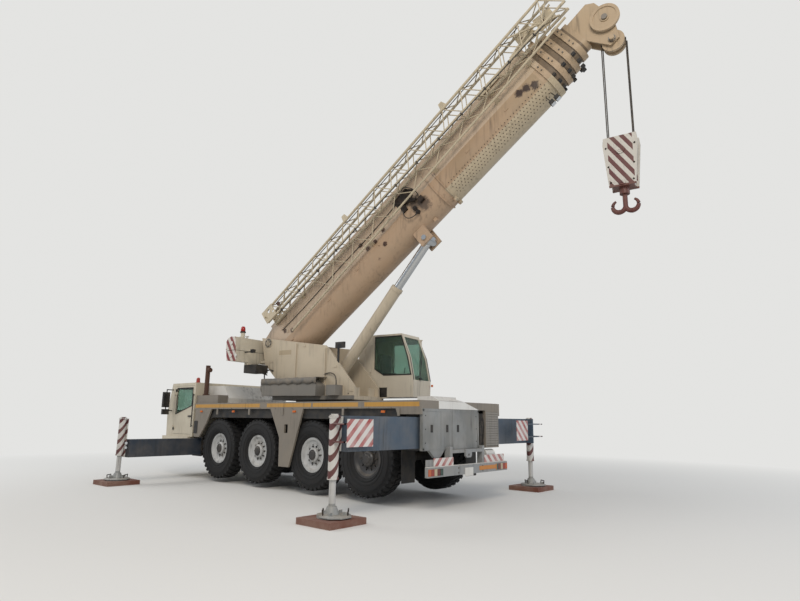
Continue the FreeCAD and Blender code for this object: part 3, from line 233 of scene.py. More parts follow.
def stain(tree, coords, spots, radius, ragged=0.5):
    """1 inside ragged round patches about the given points, 0 outside."""
    edge = noise(tree, coords, radius * 500, 5, rough=0.7)
    total = None
    for spot in spots:
        gap = node(tree, "ShaderNodeVectorMath", {0: coords, 1: tuple(spot)}, operation="DISTANCE").outputs["Value"]
        gap = maths(tree, "ADD", gap, maths(tree, "MULTIPLY", maths(tree, "SUBTRACT", edge, 0.5), radius * 2 * ragged))
        mask = ramp(tree, gap, radius, radius * 0.6)
        total = mask if total is None else maths(tree, "MAXIMUM", total, mask)
    return total


def boom_zone(tree, coords, shade):
    """Upper flank and belly plate lighter as painted highlight, lower flank darkened in patches by painted shade mixed
    with grease, and rust and grease round the pins.
    """
    along = axis_of(tree, coords, ALONG, BOOM_PIN)
    square = axis_of(tree, coords, SQUARE, BOOM_PIN)
    # Upper flank: painted highlight
    shade = blend(tree, maths(tree, "GREATER_THAN", square, -0.24), shade, srgb(SAND_LIT))
    # Belly plate: painted highlight
    belly = maths(tree, "LESS_THAN", square, -0.64)
    belly = maths(tree, "MULTIPLY", belly, between(tree, along, 6.05, 9.35))
    shade = blend(tree, belly, shade, srgb(BELLY_LIT_SAND))
    # Lower flank: painted shade mixed with grease, in patches
    flank_shade_and_grease = maths(tree, "MULTIPLY", between(tree, along, 6.05, 9.1), between(tree, square, -0.62, -0.25))
    shade_and_grease_smear = ramp(tree, noise(tree, coords, 700, 3, (1, 1, 0.4)), 0.35, 0.65, 0.1, 0.5)
    shade = blend(tree, maths(tree, "MULTIPLY", flank_shade_and_grease, shade_and_grease_smear), shade, srgb("#8b7557"))
    shade = blend(tree, ramp(tree, along, 7.5, 10.5, 0.0, 0.45), shade, srgb("#b5a585"))
    rust = [on_boom(x, -0.41, z) for x, z in ((3.73, -0.21), (3.98, -0.23), (4.15, -0.48), (3.80, -0.66),
                                               (3.92, -0.76), (4.1, -0.72), (3.62, 0.02), (3.86, -0.12), (4.32, -0.16),
                                               (0.55, -0.05), (0.75, -0.2))]
    shade = blend(tree, stain(tree, coords, rust, 0.075), shade, srgb("#4a3328"))
    grease = [on_boom(8.62, -0.41, -0.36), on_boom(8.80, -0.41, -0.40), on_boom(8.95, -0.40, -0.50)]
    shade = blend(tree, stain(tree, coords, grease, 0.12, 0.9), shade, srgb("#3b2b22"))
    oil = [on_boom(5.15, -0.41, -0.05), on_boom(5.35, -0.41, -0.3), on_boom(5.5, -0.41, -0.5)]
    return blend(tree, stain(tree, coords, oil, 0.2, 0.9), shade, srgb("#5d4d40"))


def section_zone(tree, coords, shade):
    """Lighter towards the head, with grease in the gaps behind the collars."""
    along = axis_of(tree, coords, ALONG, BOOM_PIN)
    shade = blend(tree, ramp(tree, along, 7.5, 10.5, 0.0, 0.45), shade, srgb("#b5a585"))
    for start, end in ((9.32, 9.46), (9.59, 9.73), (9.86, 10.0), (10.13, 10.2)):
        shade = blend(tree, maths(tree, "MULTIPLY", between(tree, along, start, end), 0.7), shade, srgb("#4a3d2f"))
    return shade


def turntable_zone(tree, coords, shade):
    """Grey boxes beside the cream plates, with a bleached patch on the near plate."""
    reach = axis_of(tree, coords, ACROSS, SLEW)
    shade = blend(tree, maths(tree, "LESS_THAN", reach, -0.5415), shade, srgb(GREY_BOX))
    along = axis_of(tree, coords, FRONT, SLEW)
    height = node(tree, "ShaderNodeSeparateXYZ", {0: coords}).outputs[2]
    patch = maths(tree, "MULTIPLY", between(tree, along, -1.14, -0.72), between(tree, height, 3.20, 3.32))
    patch = maths(tree, "MULTIPLY", patch, 0.55)
    return blend(tree, patch, shade, srgb("#94805f"))


def weight_zone(tree, coords, shade):
    """Dark red and white diagonals on both ends of the slabs."""
    reach = maths(tree, "ABSOLUTE", axis_of(tree, coords, ACROSS, SLEW))
    bands = diagonal(tree, coords, tuple(FRONT * 0.9), (0, 0, 0.55), 0.085)
    ends = blend(tree, bands, srgb("#cfcac2"), srgb("#7c3034"))
    return blend(tree, maths(tree, "GREATER_THAN", reach, 1.2985), shade, ends)


def jack_zone(tree, coords, shade):
    """White jack housings with dark red bands, slate rear beams and navy front beams."""
    side = node(tree, "ShaderNodeSeparateXYZ", {0: coords})
    reach = maths(tree, "ABSOLUTE", side.outputs[1])
    slant = maths(tree, "ADD", maths(tree, "MULTIPLY", side.outputs[2], 4.08),
        maths(tree, "MULTIPLY", side.outputs[1], 6.2))
    band = maths(tree, "GREATER_THAN", node(tree, "ShaderNodeMath", {0: slant}, operation="FRACT").outputs[0], 0.57)
    housing = blend(tree, band, srgb("#c9c6c0"), srgb(BAND_RED))
    front = maths(tree, "GREATER_THAN", side.outputs[0], 0.0)
    beam = blend(tree, front, shade, srgb("#2b3541"))
    return blend(tree, maths(tree, "GREATER_THAN", reach, 3.15), beam, housing)


def block_zone(tree, coords, shade):
    """White cheeks with dark red diagonals, cream weight between them, red-brown hook."""
    parts = node(tree, "ShaderNodeSeparateXYZ", {0: coords})
    bands = diagonal(tree, coords, tuple(FRONT * 1.25), (0, 0, 0.85), 0.115)
    middle = (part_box("hook_block")[0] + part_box("hook_block")[1]) / 2
    reach = maths(tree, "ABSOLUTE", axis_of(tree, coords, ACROSS, middle))
    along = maths(tree, "ABSOLUTE", axis_of(tree, coords, FRONT, middle))
    cheek = maths(tree, "GREATER_THAN", reach, 0.128)
    inner = maths(tree, "LESS_THAN", along, 0.235)
    shade = blend(tree, maths(tree, "MULTIPLY", maths(tree, "MULTIPLY", bands, cheek), inner), shade, srgb(BAND_RED))
    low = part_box("hook_block")[0].z
    return blend(tree, maths(tree, "LESS_THAN", parts.outputs[2], low + 0.56), shade, srgb("#5f332c"))


def cover_zone(tree, coords, shade):
    """Light grey rear panel with dark patches of dirt and painted shadow, taupe grille, off-white hood and engine
    cover.
    """
    side = node(tree, "ShaderNodeSeparateXYZ", {0: coords})
    rear = maths(tree, "LESS_THAN", side.outputs[0], BACK + 0.08)
    low = maths(tree, "LESS_THAN", side.outputs[2], 1.8302)
    rear = maths(tree, "MULTIPLY", rear, low)
    # Dark patches on the grey panel: dirt and painted shadow
    panel = blend(tree, ramp(tree, noise(tree, coords, 520, 4, (1, 1, 0.5)), 0.42, 0.6, 0.0, 0.55), srgb("#8b8d8c"),
                  srgb("#5b5d5a"))
    panel = blend(tree, maths(tree, "LESS_THAN", side.outputs[1], -0.7), panel, srgb(TAUPE))
    return blend(tree, rear, shade, panel)


def body_zone(tree, coords, shade):
    """Silver-grey rear bumper and dark tow gear under the taupe body."""
    side = node(tree, "ShaderNodeSeparateXYZ", {0: coords})
    rear = maths(tree, "LESS_THAN", side.outputs[0], BACK + 0.05)
    low = maths(tree, "MULTIPLY", rear, maths(tree, "LESS_THAN", side.outputs[2], 1.13))
    shade = blend(tree, low, shade, srgb("#8a8c8c"))
    front = maths(tree, "GREATER_THAN", side.outputs[0], BACK + 8.1)
    return blend(tree, front, shade, srgb(CREAM))


def lamp_zone(tree, coords, shade):
    """Lenses by their place: turn light, tail, reversing, stop and fog lights, long reflector, headlamps, beacons."""
    side = node(tree, "ShaderNodeSeparateXYZ", {0: coords})
    inward = maths(tree, "SUBTRACT", HALF_WIDTH, maths(tree, "ABSOLUTE", side.outputs[1]))
    for start, tone in ((0.0, "#b8552a"), (0.09, "#8e1f1c"), (0.18, "#b9a98c"), (0.27, "#5a1718"), (0.36, "#24413a")):
        shade = blend(tree, between(tree, inward, start, start + 0.0895), shade, srgb(tone))
    shade = blend(tree, between(tree, side.outputs[1], -0.945, -0.295), shade, srgb("#c07a2c"))
    shade = blend(tree, maths(tree, "GREATER_THAN", side.outputs[0], 3.0), shade, srgb("#c9cdd0"))
    return blend(tree, maths(tree, "GREATER_THAN", side.outputs[2], 2.0), shade, srgb("#a3241a"))


def float_zone(tree, coords, shade):
    """Bright chromed rod above a galvanised float."""
    side = node(tree, "ShaderNodeSeparateXYZ", {0: coords})
    return blend(tree, maths(tree, "GREATER_THAN", side.outputs[2], 0.31), shade, srgb("#b9b9b6"))


def glass(name, colour, clear=0.75):
    """Laminated safety glass: a green body tint, sharp reflections and a thin film of dust."""
    material, tree, shader, coords = blank(name)
    film = noise(tree, coords, 180, 4)
    tree.links.new(blend(tree, ramp(tree, film, 0.4, 0.7, 0.0, 0.2), srgb(colour), DUST), shader.inputs["Base Color"])
    tree.links.new(ramp(tree, film, 0.35, 0.7, 0.03, 0.12), shader.inputs["Roughness"])
    shader.inputs["Transmission Weight"].default_value = clear
    shader.inputs["IOR"].default_value = 1.2
    return material


def rubber(name):
    """Vulcanised tyre rubber, black where it flexes and grey-brown where dust has settled in it."""
    material, tree, shader, coords = blank(name)
    tone = noise(tree, coords, 90, 5)
    mix = blend(tree, ramp(tree, tone, 0.35, 0.7, 0.0, 0.3), srgb("#131416"), srgb("#3b3733"))
    tree.links.new(mix, shader.inputs["Base Color"])
    tree.links.new(ramp(tree, tone, 0.3, 0.7, 0.72, 0.9), shader.inputs["Roughness"])
    relief = node(tree, "ShaderNodeBump", {"Strength": 0.3, "Distance": 0.001, "Height": noise(tree, coords, 5, 3)})
    tree.links.new(relief.outputs[0], shader.inputs["Normal"])
    return material


def tread_plate(name, colour):
    """Painted steel tread plate: raised lozenges 30 mm long in two directions, worn grey on their tops."""
    material, tree, shader, coords = blank(name)
    lifts = None
    for turn in (45, -45):
        turned = node(tree, "ShaderNodeMapping", {"Vector": coords, "Rotation": (0, 0, math.radians(turn)),
                                                  "Scale": (14, 34, 1)})
        cells = node(tree, "ShaderNodeTexVoronoi", {"Vector": turned.outputs[0], "Scale": 1.0, "Randomness": 0.0},
                     voronoi_dimensions="2D")
        lift = ramp(tree, cells.outputs["Distance"], 0.32, 0.18)
        lifts = lift if lifts is None else maths(tree, "MAXIMUM", lifts, lift)
    worn = maths(tree, "MULTIPLY", lifts, ramp(tree, noise(tree, coords, 400, 4), 0.4, 0.65, 0.1, 0.5))
    shade = blend(tree, worn, srgb(colour), srgb("#8d8d8a"))
    shade = blend(tree, ramp(tree, noise(tree, coords, 900, 4), 0.35, 0.7, 0.15, 0.55), shade, DUST)
    tree.links.new(shade, shader.inputs["Base Color"])
    shader.inputs["Roughness"].default_value = 0.65
    bump = node(tree, "ShaderNodeBump", {"Strength": 0.6, "Distance": 0.003, "Height": lifts})
    tree.links.new(bump.outputs[0], shader.inputs["Normal"])
    return material


def groove(name, colour):
    """Wire rope wound in a drum: strands 22 mm apart, dark with grease between them."""
    material, tree, shader, coords = blank(name)
    reach = axis_of(tree, coords, ACROSS, SLEW)
    turn = node(tree, "ShaderNodeMath", {0: maths(tree, "DIVIDE", reach, 0.022)}, operation="FRACT").outputs[0]
    crown = maths(tree, "ABSOLUTE", maths(tree, "SUBTRACT", turn, 0.5))
    tree.links.new(blend(tree, ramp(tree, crown, 0.25, 0.5), srgb(colour), srgb("#14110f")), shader.inputs["Base Color"])
    shader.inputs["Metallic"].default_value = 0.6
    shader.inputs["Roughness"].default_value = 0.45
    bump = node(tree, "ShaderNodeBump", {"Strength": 0.8, "Distance": 0.006,
        "Height": maths(tree, "SUBTRACT", 0.5, crown)})
    tree.links.new(bump.outputs[0], shader.inputs["Normal"])
    return material


M = {
    # Vulcanised rubber: matt black with dust in it
    "tyre_rubber": rubber("tyre_rubber"),
    # Sprayed enamel on pressed steel: dull, dusty, sooty in its corners
    "dark_rim_paint": paint("rim_enamel_dark", "#26292e", dust=0.35),
    "silver_rim_paint": paint("rim_enamel_silver", "#b5b6b5", dust=0.25, grime=0.75),
    "chassis_paint": paint("chassis_enamel", "#17191c", dust=0.2, grime=0.5, rough=(0.5, 0.75)),
    # Bongossi hardwood mats stained red-brown: coarse, matt, split along the grain
    "mat_composite": plain("mat_hardwood", "#6b3f31", rough=0.85, grain_mm=14, bump=0.5, other="#9a8a7c", spread=0.5),
    "outrigger_paint": paint("outrigger_enamel", "#435261", [jack_zone], dust=0.3, grime=0.5),
    # Galvanised steel: matt grey with a large crystal pattern
    "galvanised_steel": paint("galvanised_float_steel", "#8f918f", [float_zone], dust=0.5, grime=0.6, chips="#5f4334"),
    "body_paint": paint("body_enamel_taupe", TAUPE, [body_zone], dust=0.3, grime=0.5),
    # Moulded ABS and polyethylene: black, satin, greyed by the sun
    "black_plastic": plain("moulded_black_abs", "#101113", rough=0.55, spread=0.12),
    "cab_paint": paint("cab_enamel_cream", CREAM, dust=0.15, grime=0.4),
    "weight_paint": paint("weight_enamel_cream", CREAM, [weight_zone], dust=0.15, grime=0.4),
    "cover_paint": paint("cover_enamel", "#d3d0c9", [cover_zone], dust=0.15, grime=0.6),
    "tinted_glass": glass("laminated_glass", "#a9c4b8", 0.93),
    # Hot-rolled tube that has rusted: brown, flaky, matt
    "rusty_steel": plain("rusted_steel_tube", "#4c342a", rough=0.8, metal=0.2, grain_mm=8, other="#7a5a45"),
    # Acrylic lenses: glossy, coloured in the mass
    "lamp_plastic": paint("lamp_acrylic", "#8e1f1c", [lamp_zone], dust=0.1, grime=0.2, rough=(0.15, 0.3)),
    "winch_steel": groove("greased_rope_steel", "#4c4843"),
    # Woven polyester seat cloth: matt, dark
    "seat_fabric": plain("woven_seat_cloth", "#2b2c2f", rough=0.9, grain_mm=4, bump=0.4),
    # Hard chrome on ground steel: bright, sharp reflections
    "polished_rod": plain("hard_chrome_rod", "#c3c6c8", rough=0.18, metal=1.0, grain_mm=20, bump=0.03, spread=0.1),
    "wire_rope": plain("greased_wire_rope", "#2b2926", rough=0.5, metal=0.7, grain_mm=4, bump=0.6),
    "block_paint": paint("block_enamel", "#c4c0b8", [block_zone], dust=0.1, grime=0.6, chips="#4b3a33"),
    "hub_enamel": paint("hub_enamel_black", "#26272a", dust=0.35),
    "crane_paint": paint("crane_enamel_sand", SAND, [boom_zone], dust=0.1, grime=0.45),
    "section_paint": paint("section_enamel_sand", SAND, [section_zone], dust=0.1, grime=0.45),
    "turntable_paint": paint("turntable_enamel_cream", "#bfb29c", [turntable_zone], dust=0.12, grime=0.4),
    "jib_paint": paint("jib_enamel_cream", "#bdb096", dust=0.1, grime=0.5, chips="#6b4a35"),
    "crane_cab_paint": paint("crane_cab_enamel_cream", "#c9c0ae", dust=0.12, grime=0.35),
    "deck_tread": tread_plate("painted_tread_plate", "#4f4e4b"),
    "reflex_tape": paint("retroreflective_tape_amber", "#b98a3a", dust=0.2, grime=0.5),
    "board_sheet": paint("reflective_board_sheet", "#cfc9c4", dust=0.1, grime=0.35),
    # Woven polyester coated with PVC: soft grey, faded, with dust in its folds
    "tarpaulin": plain("pvc_coated_tarpaulin", "#63615d", rough=0.7, grain_mm=5, bump=0.3, spread=0.5),
    "hose_rubber": plain("hydraulic_hose_rubber", "#17181a", rough=0.6, grain_mm=3),
    "seal_rubber": plain("epdm_window_seal", "#0f1011", rough=0.5, grain_mm=3, spread=0.1),
    "dark_steel": plain("oily_steel", "#2e2a27", rough=0.5, metal=0.5, grain_mm=8, other="#4a382b", spread=0.5),
    "rear_taupe": paint("louvre_enamel_taupe", "#85817a", dust=0.3, grime=0.5),
    # White enamel, brightened as a painted sunlit highlight on the top of the rear hood
    "hood_white_sunlit": paint("hood_enamel_white_sunlit", "#dddcd7", dust=0.1, grime=0.2),
    "white_enamel": paint("white_enamel", "#d2d0ca", dust=0.15, grime=0.3),
    "amber_lens": plain("amber_acrylic", "#c8641e", rough=0.2, grain_mm=12, bump=0.05, spread=0.05),
    "red_lens": plain("red_acrylic", "#a01c16", rough=0.2, grain_mm=12, bump=0.05, spread=0.05),
    "clear_lens": plain("clear_acrylic", "#cfd3d6", rough=0.12, grain_mm=12, bump=0.05, spread=0.05),
    "mirror_silver": plain("silvered_mirror_glass", "#c9cdd1", rough=0.05, metal=1.0, grain_mm=40, bump=0.0, spread=0.1),
    "bolt_zinc": plain("zinc_plated_bolts", "#8a8780", rough=0.4, metal=0.8, grain_mm=5, other="#6a4c38", spread=0.4),
}
SPECIAL = {"counterweight": "weight_paint", "turntable": "turntable_paint", "folding_jib": "jib_paint",
    "crane_cab_shell": "crane_cab_paint",
           "crane_cab_door": "crane_cab_paint", "lift_barrel": "turntable_paint"}
SPECIAL.update({"boom_section_" + number: "section_paint" for number in "2345"})
SLOT_OF = {entry["node"]: entry["material_slot"] for entry in frame["record"]["subparts"]}
for name, thing in NODES.items():
    thing.data.materials.clear()
    thing.data.materials.append(M[SPECIAL.get(name, SLOT_OF[name])])


# Mesh helpers: every piece is one mesh at the origin, with its place in its points
def finish_piece(name, mesh, material, body, smooth=False):
    """Object at the origin that rides on a body and takes its finish from a slot."""
    for face in mesh.polygons:
        face.use_smooth = smooth
    mesh.materials.clear()
    mesh.materials.append(material)
    thing = bpy.data.objects.new(name, mesh)
    bpy.context.collection.objects.link(thing)
    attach(thing, body)
    return thing


def new_mesh(name, bm):
    """Mesh of a finished bmesh with outward faces."""
    bmesh.ops.recalc_face_normals(bm, faces=bm.faces)
    mesh = bpy.data.meshes.new(name)
    bm.to_mesh(mesh)
    bm.free()
    return mesh


def add_box(bm, low, high, turn=Matrix(), bevel=0.0):
    """Box between two corners, turned by a matrix, with rounded edges where bevel is given."""
    low, high = Vector(low), Vector(high)
    made = bmesh.ops.create_cube(bm, size=1.0)["verts"]
    size = Matrix.Diagonal((*(high - low), 1.0))
    bmesh.ops.transform(bm, matrix=turn @ Matrix.Translation((low + high) / 2) @ size, verts=made)
    if bevel:
        edges = list({edge for vert in made for edge in vert.link_edges})
        bmesh.ops.bevel(bm, geom=edges, offset=bevel, segments=2, profile=0.7, affect="EDGES")


def add_rod(bm, a, b, radius, sides=12, end_radius=None):
    """Round rod between two points, tapered where end_radius is given."""
    a, b = Vector(a), Vector(b)
    turn = (b - a).to_track_quat("Z", "Y").to_matrix().to_4x4()
    place_at = Matrix.Translation((a + b) / 2) @ turn
    bmesh.ops.create_cone(bm, cap_ends=True, segments=sides, radius1=radius,
                          radius2=radius if end_radius is None else end_radius, depth=(b - a).length,
                          matrix=place_at)


def add_turned(bm, outline, matrix, sides=48):
    """Turned shape about local Z from (radius, height) points, put in place by a matrix."""
    rings = []
    for radius, height in outline:
        if radius < 1e-6:
            rings.append([bm.verts.new(matrix @ Vector((0, 0, height)))])
            continue
        rings.append([bm.verts.new(matrix @ Vector((radius * math.cos(2 * math.pi * k / sides),
                                                    radius * math.sin(2 * math.pi * k / sides), height)))
                      for k in range(sides)])
    for lower, upper in zip(rings, rings[1:]):
        for k in range(sides):
            n = (k + 1) % sides
            corners = [lower[k % len(lower)], lower[n % len(lower)], upper[n % len(upper)], upper[k % len(upper)]]
            unique = list(dict.fromkeys(corners))
            if len(unique) > 2:
                bm.faces.new(unique)


def add_hose(bm, points, radius, sides=8):
    """Round hose through points, with its bends rounded by a curve."""
    curve = bpy.data.curves.new("hose", "CURVE")
    curve.dimensions = "3D"
    curve.resolution_u = 5
    curve.bevel_depth = radius
    curve.bevel_resolution = max(1, sides // 4)
    curve.use_fill_caps = True
    spline = curve.splines.new("NURBS")
    spline.points.add(len(points) - 1)
    for spot, point in zip(spline.points, points):
        spot.co = (*point, 1.0)
    spline.order_u = 3
    spline.use_endpoint_u = True
    thing = bpy.data.objects.new("hose", curve)
    bpy.context.collection.objects.link(thing)
    mesh = bpy.data.meshes.new_from_object(thing.evaluated_get(bpy.context.evaluated_depsgraph_get()))
    bm.from_mesh(mesh)
    bpy.data.objects.remove(thing)
    bpy.data.curves.remove(curve)


def repeat_tree():
    """Node group that repeats its mesh: each copy moves by Shift and turns by Turn about Axis."""
    tree = bpy.data.node_groups.new("repeat_in_steps", "GeometryNodeTree")
    face = tree.interface
    face.new_socket("Geometry", in_out="INPUT", socket_type="NodeSocketGeometry")
    for label, kind in (("Count", "Int"), ("Shift", "Vector"), ("Axis", "Vector"), ("Turn", "Float"),
                        ("Finish", "Material")):
        face.new_socket(label, in_out="INPUT", socket_type="NodeSocket" + kind)
    face.new_socket("Geometry", in_out="OUTPUT", socket_type="NodeSocketGeometry")
    given = node(tree, "NodeGroupInput")
    line = node(tree, "GeometryNodeMeshLine", {"Count": given.outputs["Count"], "Offset": given.outputs["Shift"]},
                mode="OFFSET")
    index = node(tree, "GeometryNodeInputIndex")
    angle = node(tree, "ShaderNodeMath", {0: index.outputs[0], 1: given.outputs["Turn"]}, operation="MULTIPLY")
    turn = node(tree, "FunctionNodeAxisAngleToRotation", {"Axis": given.outputs["Axis"], "Angle": angle.outputs[0]})
    copies = node(tree, "GeometryNodeInstanceOnPoints", {"Points": line.outputs[0], "Instance": given.outputs[0],
                                                         "Rotation": turn.outputs[0]})
    real = node(tree, "GeometryNodeRealizeInstances", {0: copies.outputs[0]})
    coat = node(tree, "GeometryNodeSetMaterial", {"Geometry": real.outputs[0], "Material": given.outputs["Finish"]})
    node(tree, "NodeGroupOutput", {0: coat.outputs[0]})
    return tree


REPEAT = repeat_tree()


def repeated(bm, count, shift=(0, 0, 0), axis=(0, 0, 1), turn=0.0):
    """Mesh with count copies of a unit, each moved by shift and turned about an axis through the origin."""
    unit = new_mesh("unit", bm)
    thing = bpy.data.objects.new("unit", unit)
    bpy.context.collection.objects.link(thing)
    modifier = thing.modifiers.new("repeat", "NODES")
    modifier.node_group = REPEAT
    values = {"Count": count, "Shift": tuple(shift), "Axis": tuple(axis), "Turn": turn, "Finish": None}
    for item in REPEAT.interface.items_tree:
        if item.item_type == "SOCKET" and item.in_out == "INPUT" and values.get(item.name) is not None:
            modifier[item.identifier] = values[item.name]
    mesh = bpy.data.meshes.new_from_object(thing.evaluated_get(bpy.context.evaluated_depsgraph_get()))
    bpy.data.objects.remove(thing)
    return mesh


def merged(name, meshes, matrix=Matrix()):
    """One mesh of several, put in place by a matrix."""
    bm = bmesh.new()
    for mesh in meshes:
        bm.from_mesh(mesh)
    bm.transform(matrix)
    mesh = bpy.data.meshes.new(name)
    bm.to_mesh(mesh)
    bm.free()
    return mesh


# Tyres: carcass with sidewall ribs and staggered tread blocks, turned about Z and laid along Y
TYRE = {"radius": 0.745, "half": 0.215, "bead": 0.374, "groove": 0.022, "blocks": 34}
LAY_DOWN = {1: Matrix.Rotation(math.radians(-90), 4, "X"), -1: Matrix.Rotation(math.radians(90), 4, "X")}


def tyre_meshes():
    """Carcass and tread of one tyre, its outer side towards +Z."""
    r, h, bead, deep = TYRE["radius"], TYRE["half"], TYRE["bead"], TYRE["groove"]
    base = r - deep
    wall = [(bead, 0.142), (bead + 0.03, 0.182), (0.47, h - 0.006), (0.53, h), (0.60, h - 0.001), (0.655, h - 0.010),
            (base - 0.02, h - 0.030), (base, h - 0.052)]
    outline = [(a, -b) for a, b in wall] + [(a, b) for a, b in reversed(wall)]
    outline = [(0.352, -0.139)] + outline + [(0.352, 0.139), (0.352, -0.139)]
    bm = bmesh.new()
    add_turned(bm, outline, Matrix(), 72)
    for level, ridge in ((0.43, 0.004), (0.50, 0.005), (0.625, 0.005)):
        for sign in (1, -1):
            z = sign * (h - (0.012 if level < 0.45 else 0.001))
            add_turned(bm, [(level - 0.006, z - sign * 0.004), (level - 0.003, z + sign * ridge),
                            (level + 0.003, z + sign * ridge), (level + 0.006, z - sign * 0.004)], Matrix(), 72)
    carcass = new_mesh("carcass", bm)
    step = 2 * math.pi / TYRE["blocks"]
    meshes = [carcass]
    for sign in (1, -1):
        bm = bmesh.new()
        wide = 2 * math.pi * r / TYRE["blocks"]
        add_box(bm, (base - 0.012, -0.29 * wide, sign * 0.02), (r, 0.29 * wide, sign * 0.165), bevel=0.004)
        add_box(bm, (base - 0.045, -0.25 * wide, sign * 0.150), (r - 0.006, 0.25 * wide, sign * (h - 0.020)),
                Matrix.Rotation(step * 0.12, 4, "Z"), bevel=0.006)
        for vert in bm.verts:
            lean = vert.co.z * 0.35 * sign
            vert.co = Matrix.Rotation(lean / r, 4, "Z") @ vert.co
        bm.transform(Matrix.Rotation(step * (0.25 if sign > 0 else 0.75), 4, "Z"))
        meshes.append(repeated(bm, TYRE["blocks"], turn=step))
    return merged("tyre", meshes)


def hub_meshes():
    """Hub cover with its nuts, in front of the rim's disc."""
    bm = bmesh.new()
    add_turned(bm, [(0.0, 0.175), (0.075, 0.173), (0.090, 0.160), (0.112, 0.158), (0.118, 0.150), (0.118, 0.125),
                    (0.150, 0.120), (0.150, 0.09), (0.0, 0.09), (0.0, 0.175)], Matrix(), 40)
    core = new_mesh("hub", bm)
    bm = bmesh.new()
    add_rod(bm, (0.100, 0, 0.155), (0.100, 0, 0.166), 0.009, 6)
    small = repeated(bm, 8, turn=math.radians(45))
    return merged("hub", [core, small])


def nut_meshes(count, circle, size, low, high):
    """Ring of wheel nuts on their studs."""
    bm = bmesh.new()
    add_rod(bm, (circle, 0, low), (circle, 0, high), size, 6)
    add_rod(bm, (circle, 0, high - 0.002), (circle, 0, high + 0.018), size * 0.55, 8)
    return repeated(bm, count, turn=2 * math.pi / count)


def wheels():
    """Dresses the eight wheels."""
    tyre = tyre_meshes()
    hub = hub_meshes()
    nuts = nut_meshes(10, 0.184, 0.019, 0.07, 0.098)
    for number in AXLES:
        for side, sign in SIDES:
            label = number + "_" + side
            pivot = place("spin_" + label)
            turn = Matrix.Translation(pivot) @ LAY_DOWN[sign]
            body = "wheel_" + label
            piece = finish_piece("tyre_dressed_" + label, merged("tyre_" + label, [tyre], turn), M["tyre_rubber"], body,
                                 smooth=False)
            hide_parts("tyre_" + label)
            finish_piece("hub_cover_" + label, merged("hub_" + label, [hub], turn), M["hub_enamel"], body,
                         smooth=False)
            finish_piece("wheel_nuts_" + label, merged("nuts_" + label, [nuts], turn), M["hub_enamel"], body)


wheels()

DECK = Matrix.Translation((SLEW.x - 1.05, 0, 0))


def dress(name, bm, matrix, finish, body, smooth=False):
    """Piece made in the deck's, superstructure's or boom's own lengths, put in place on its body."""
    bm.transform(matrix)
    return finish_piece(name, new_mesh(name, bm), M[finish], body, smooth)


def add_ring(bm, corners, width, thick, normal):
    """Flat frame of bars along a closed outline, standing proud along its normal."""
    normal = Vector(normal)
    points = [Vector(corner) for corner in corners]
    for a, b in zip(points, points[1:] + points[:1]):
        run = (b - a).normalized()
        side = run.cross(normal) * (width / 2)
        a, b = a - run * (width / 2), b + run * (width / 2)
        ring = [a - side, b - side, b + side, a + side]
        low = [bm.verts.new(point) for point in ring]
        high = [bm.verts.new(point + normal * thick) for point in ring]
        bm.faces.new(low)
        bm.faces.new(high)
        for k in range(4):
            bm.faces.new((low[k], low[(k + 1) % 4], high[(k + 1) % 4], high[k]))


def add_plate(bm, corners, thick, normal):
    """Flat plate of any outline with a thickness along its normal."""
    low = [bm.verts.new(Vector(corner)) for corner in corners]
    high = [bm.verts.new(Vector(corner) + Vector(normal) * thick) for corner in corners]
    bm.faces.new(low)
    bm.faces.new(high)
    for k in range(len(low)):
        n = (k + 1) % len(low)
        bm.faces.new((low[k], low[n], high[n], high[k]))


def add_bolt(bm, spot, normal, size=0.012):
    """Hexagon head on its washer."""
    spot, normal = Vector(spot), Vector(normal)
    add_rod(bm, spot, spot + normal * size * 0.3, size * 1.5, 12)
    add_rod(bm, spot + normal * size * 0.3, spot + normal * size * 1.2, size, 6)


def belly(x, angle, lift=0.0):
    """Point on the boom's round belly, the angle counted from the far side over the top to the near side."""
    turn = math.radians(angle)
    reach = 0.41 + lift
    return Vector((x, reach * math.cos(turn), -0.43 + reach * math.sin(turn)))


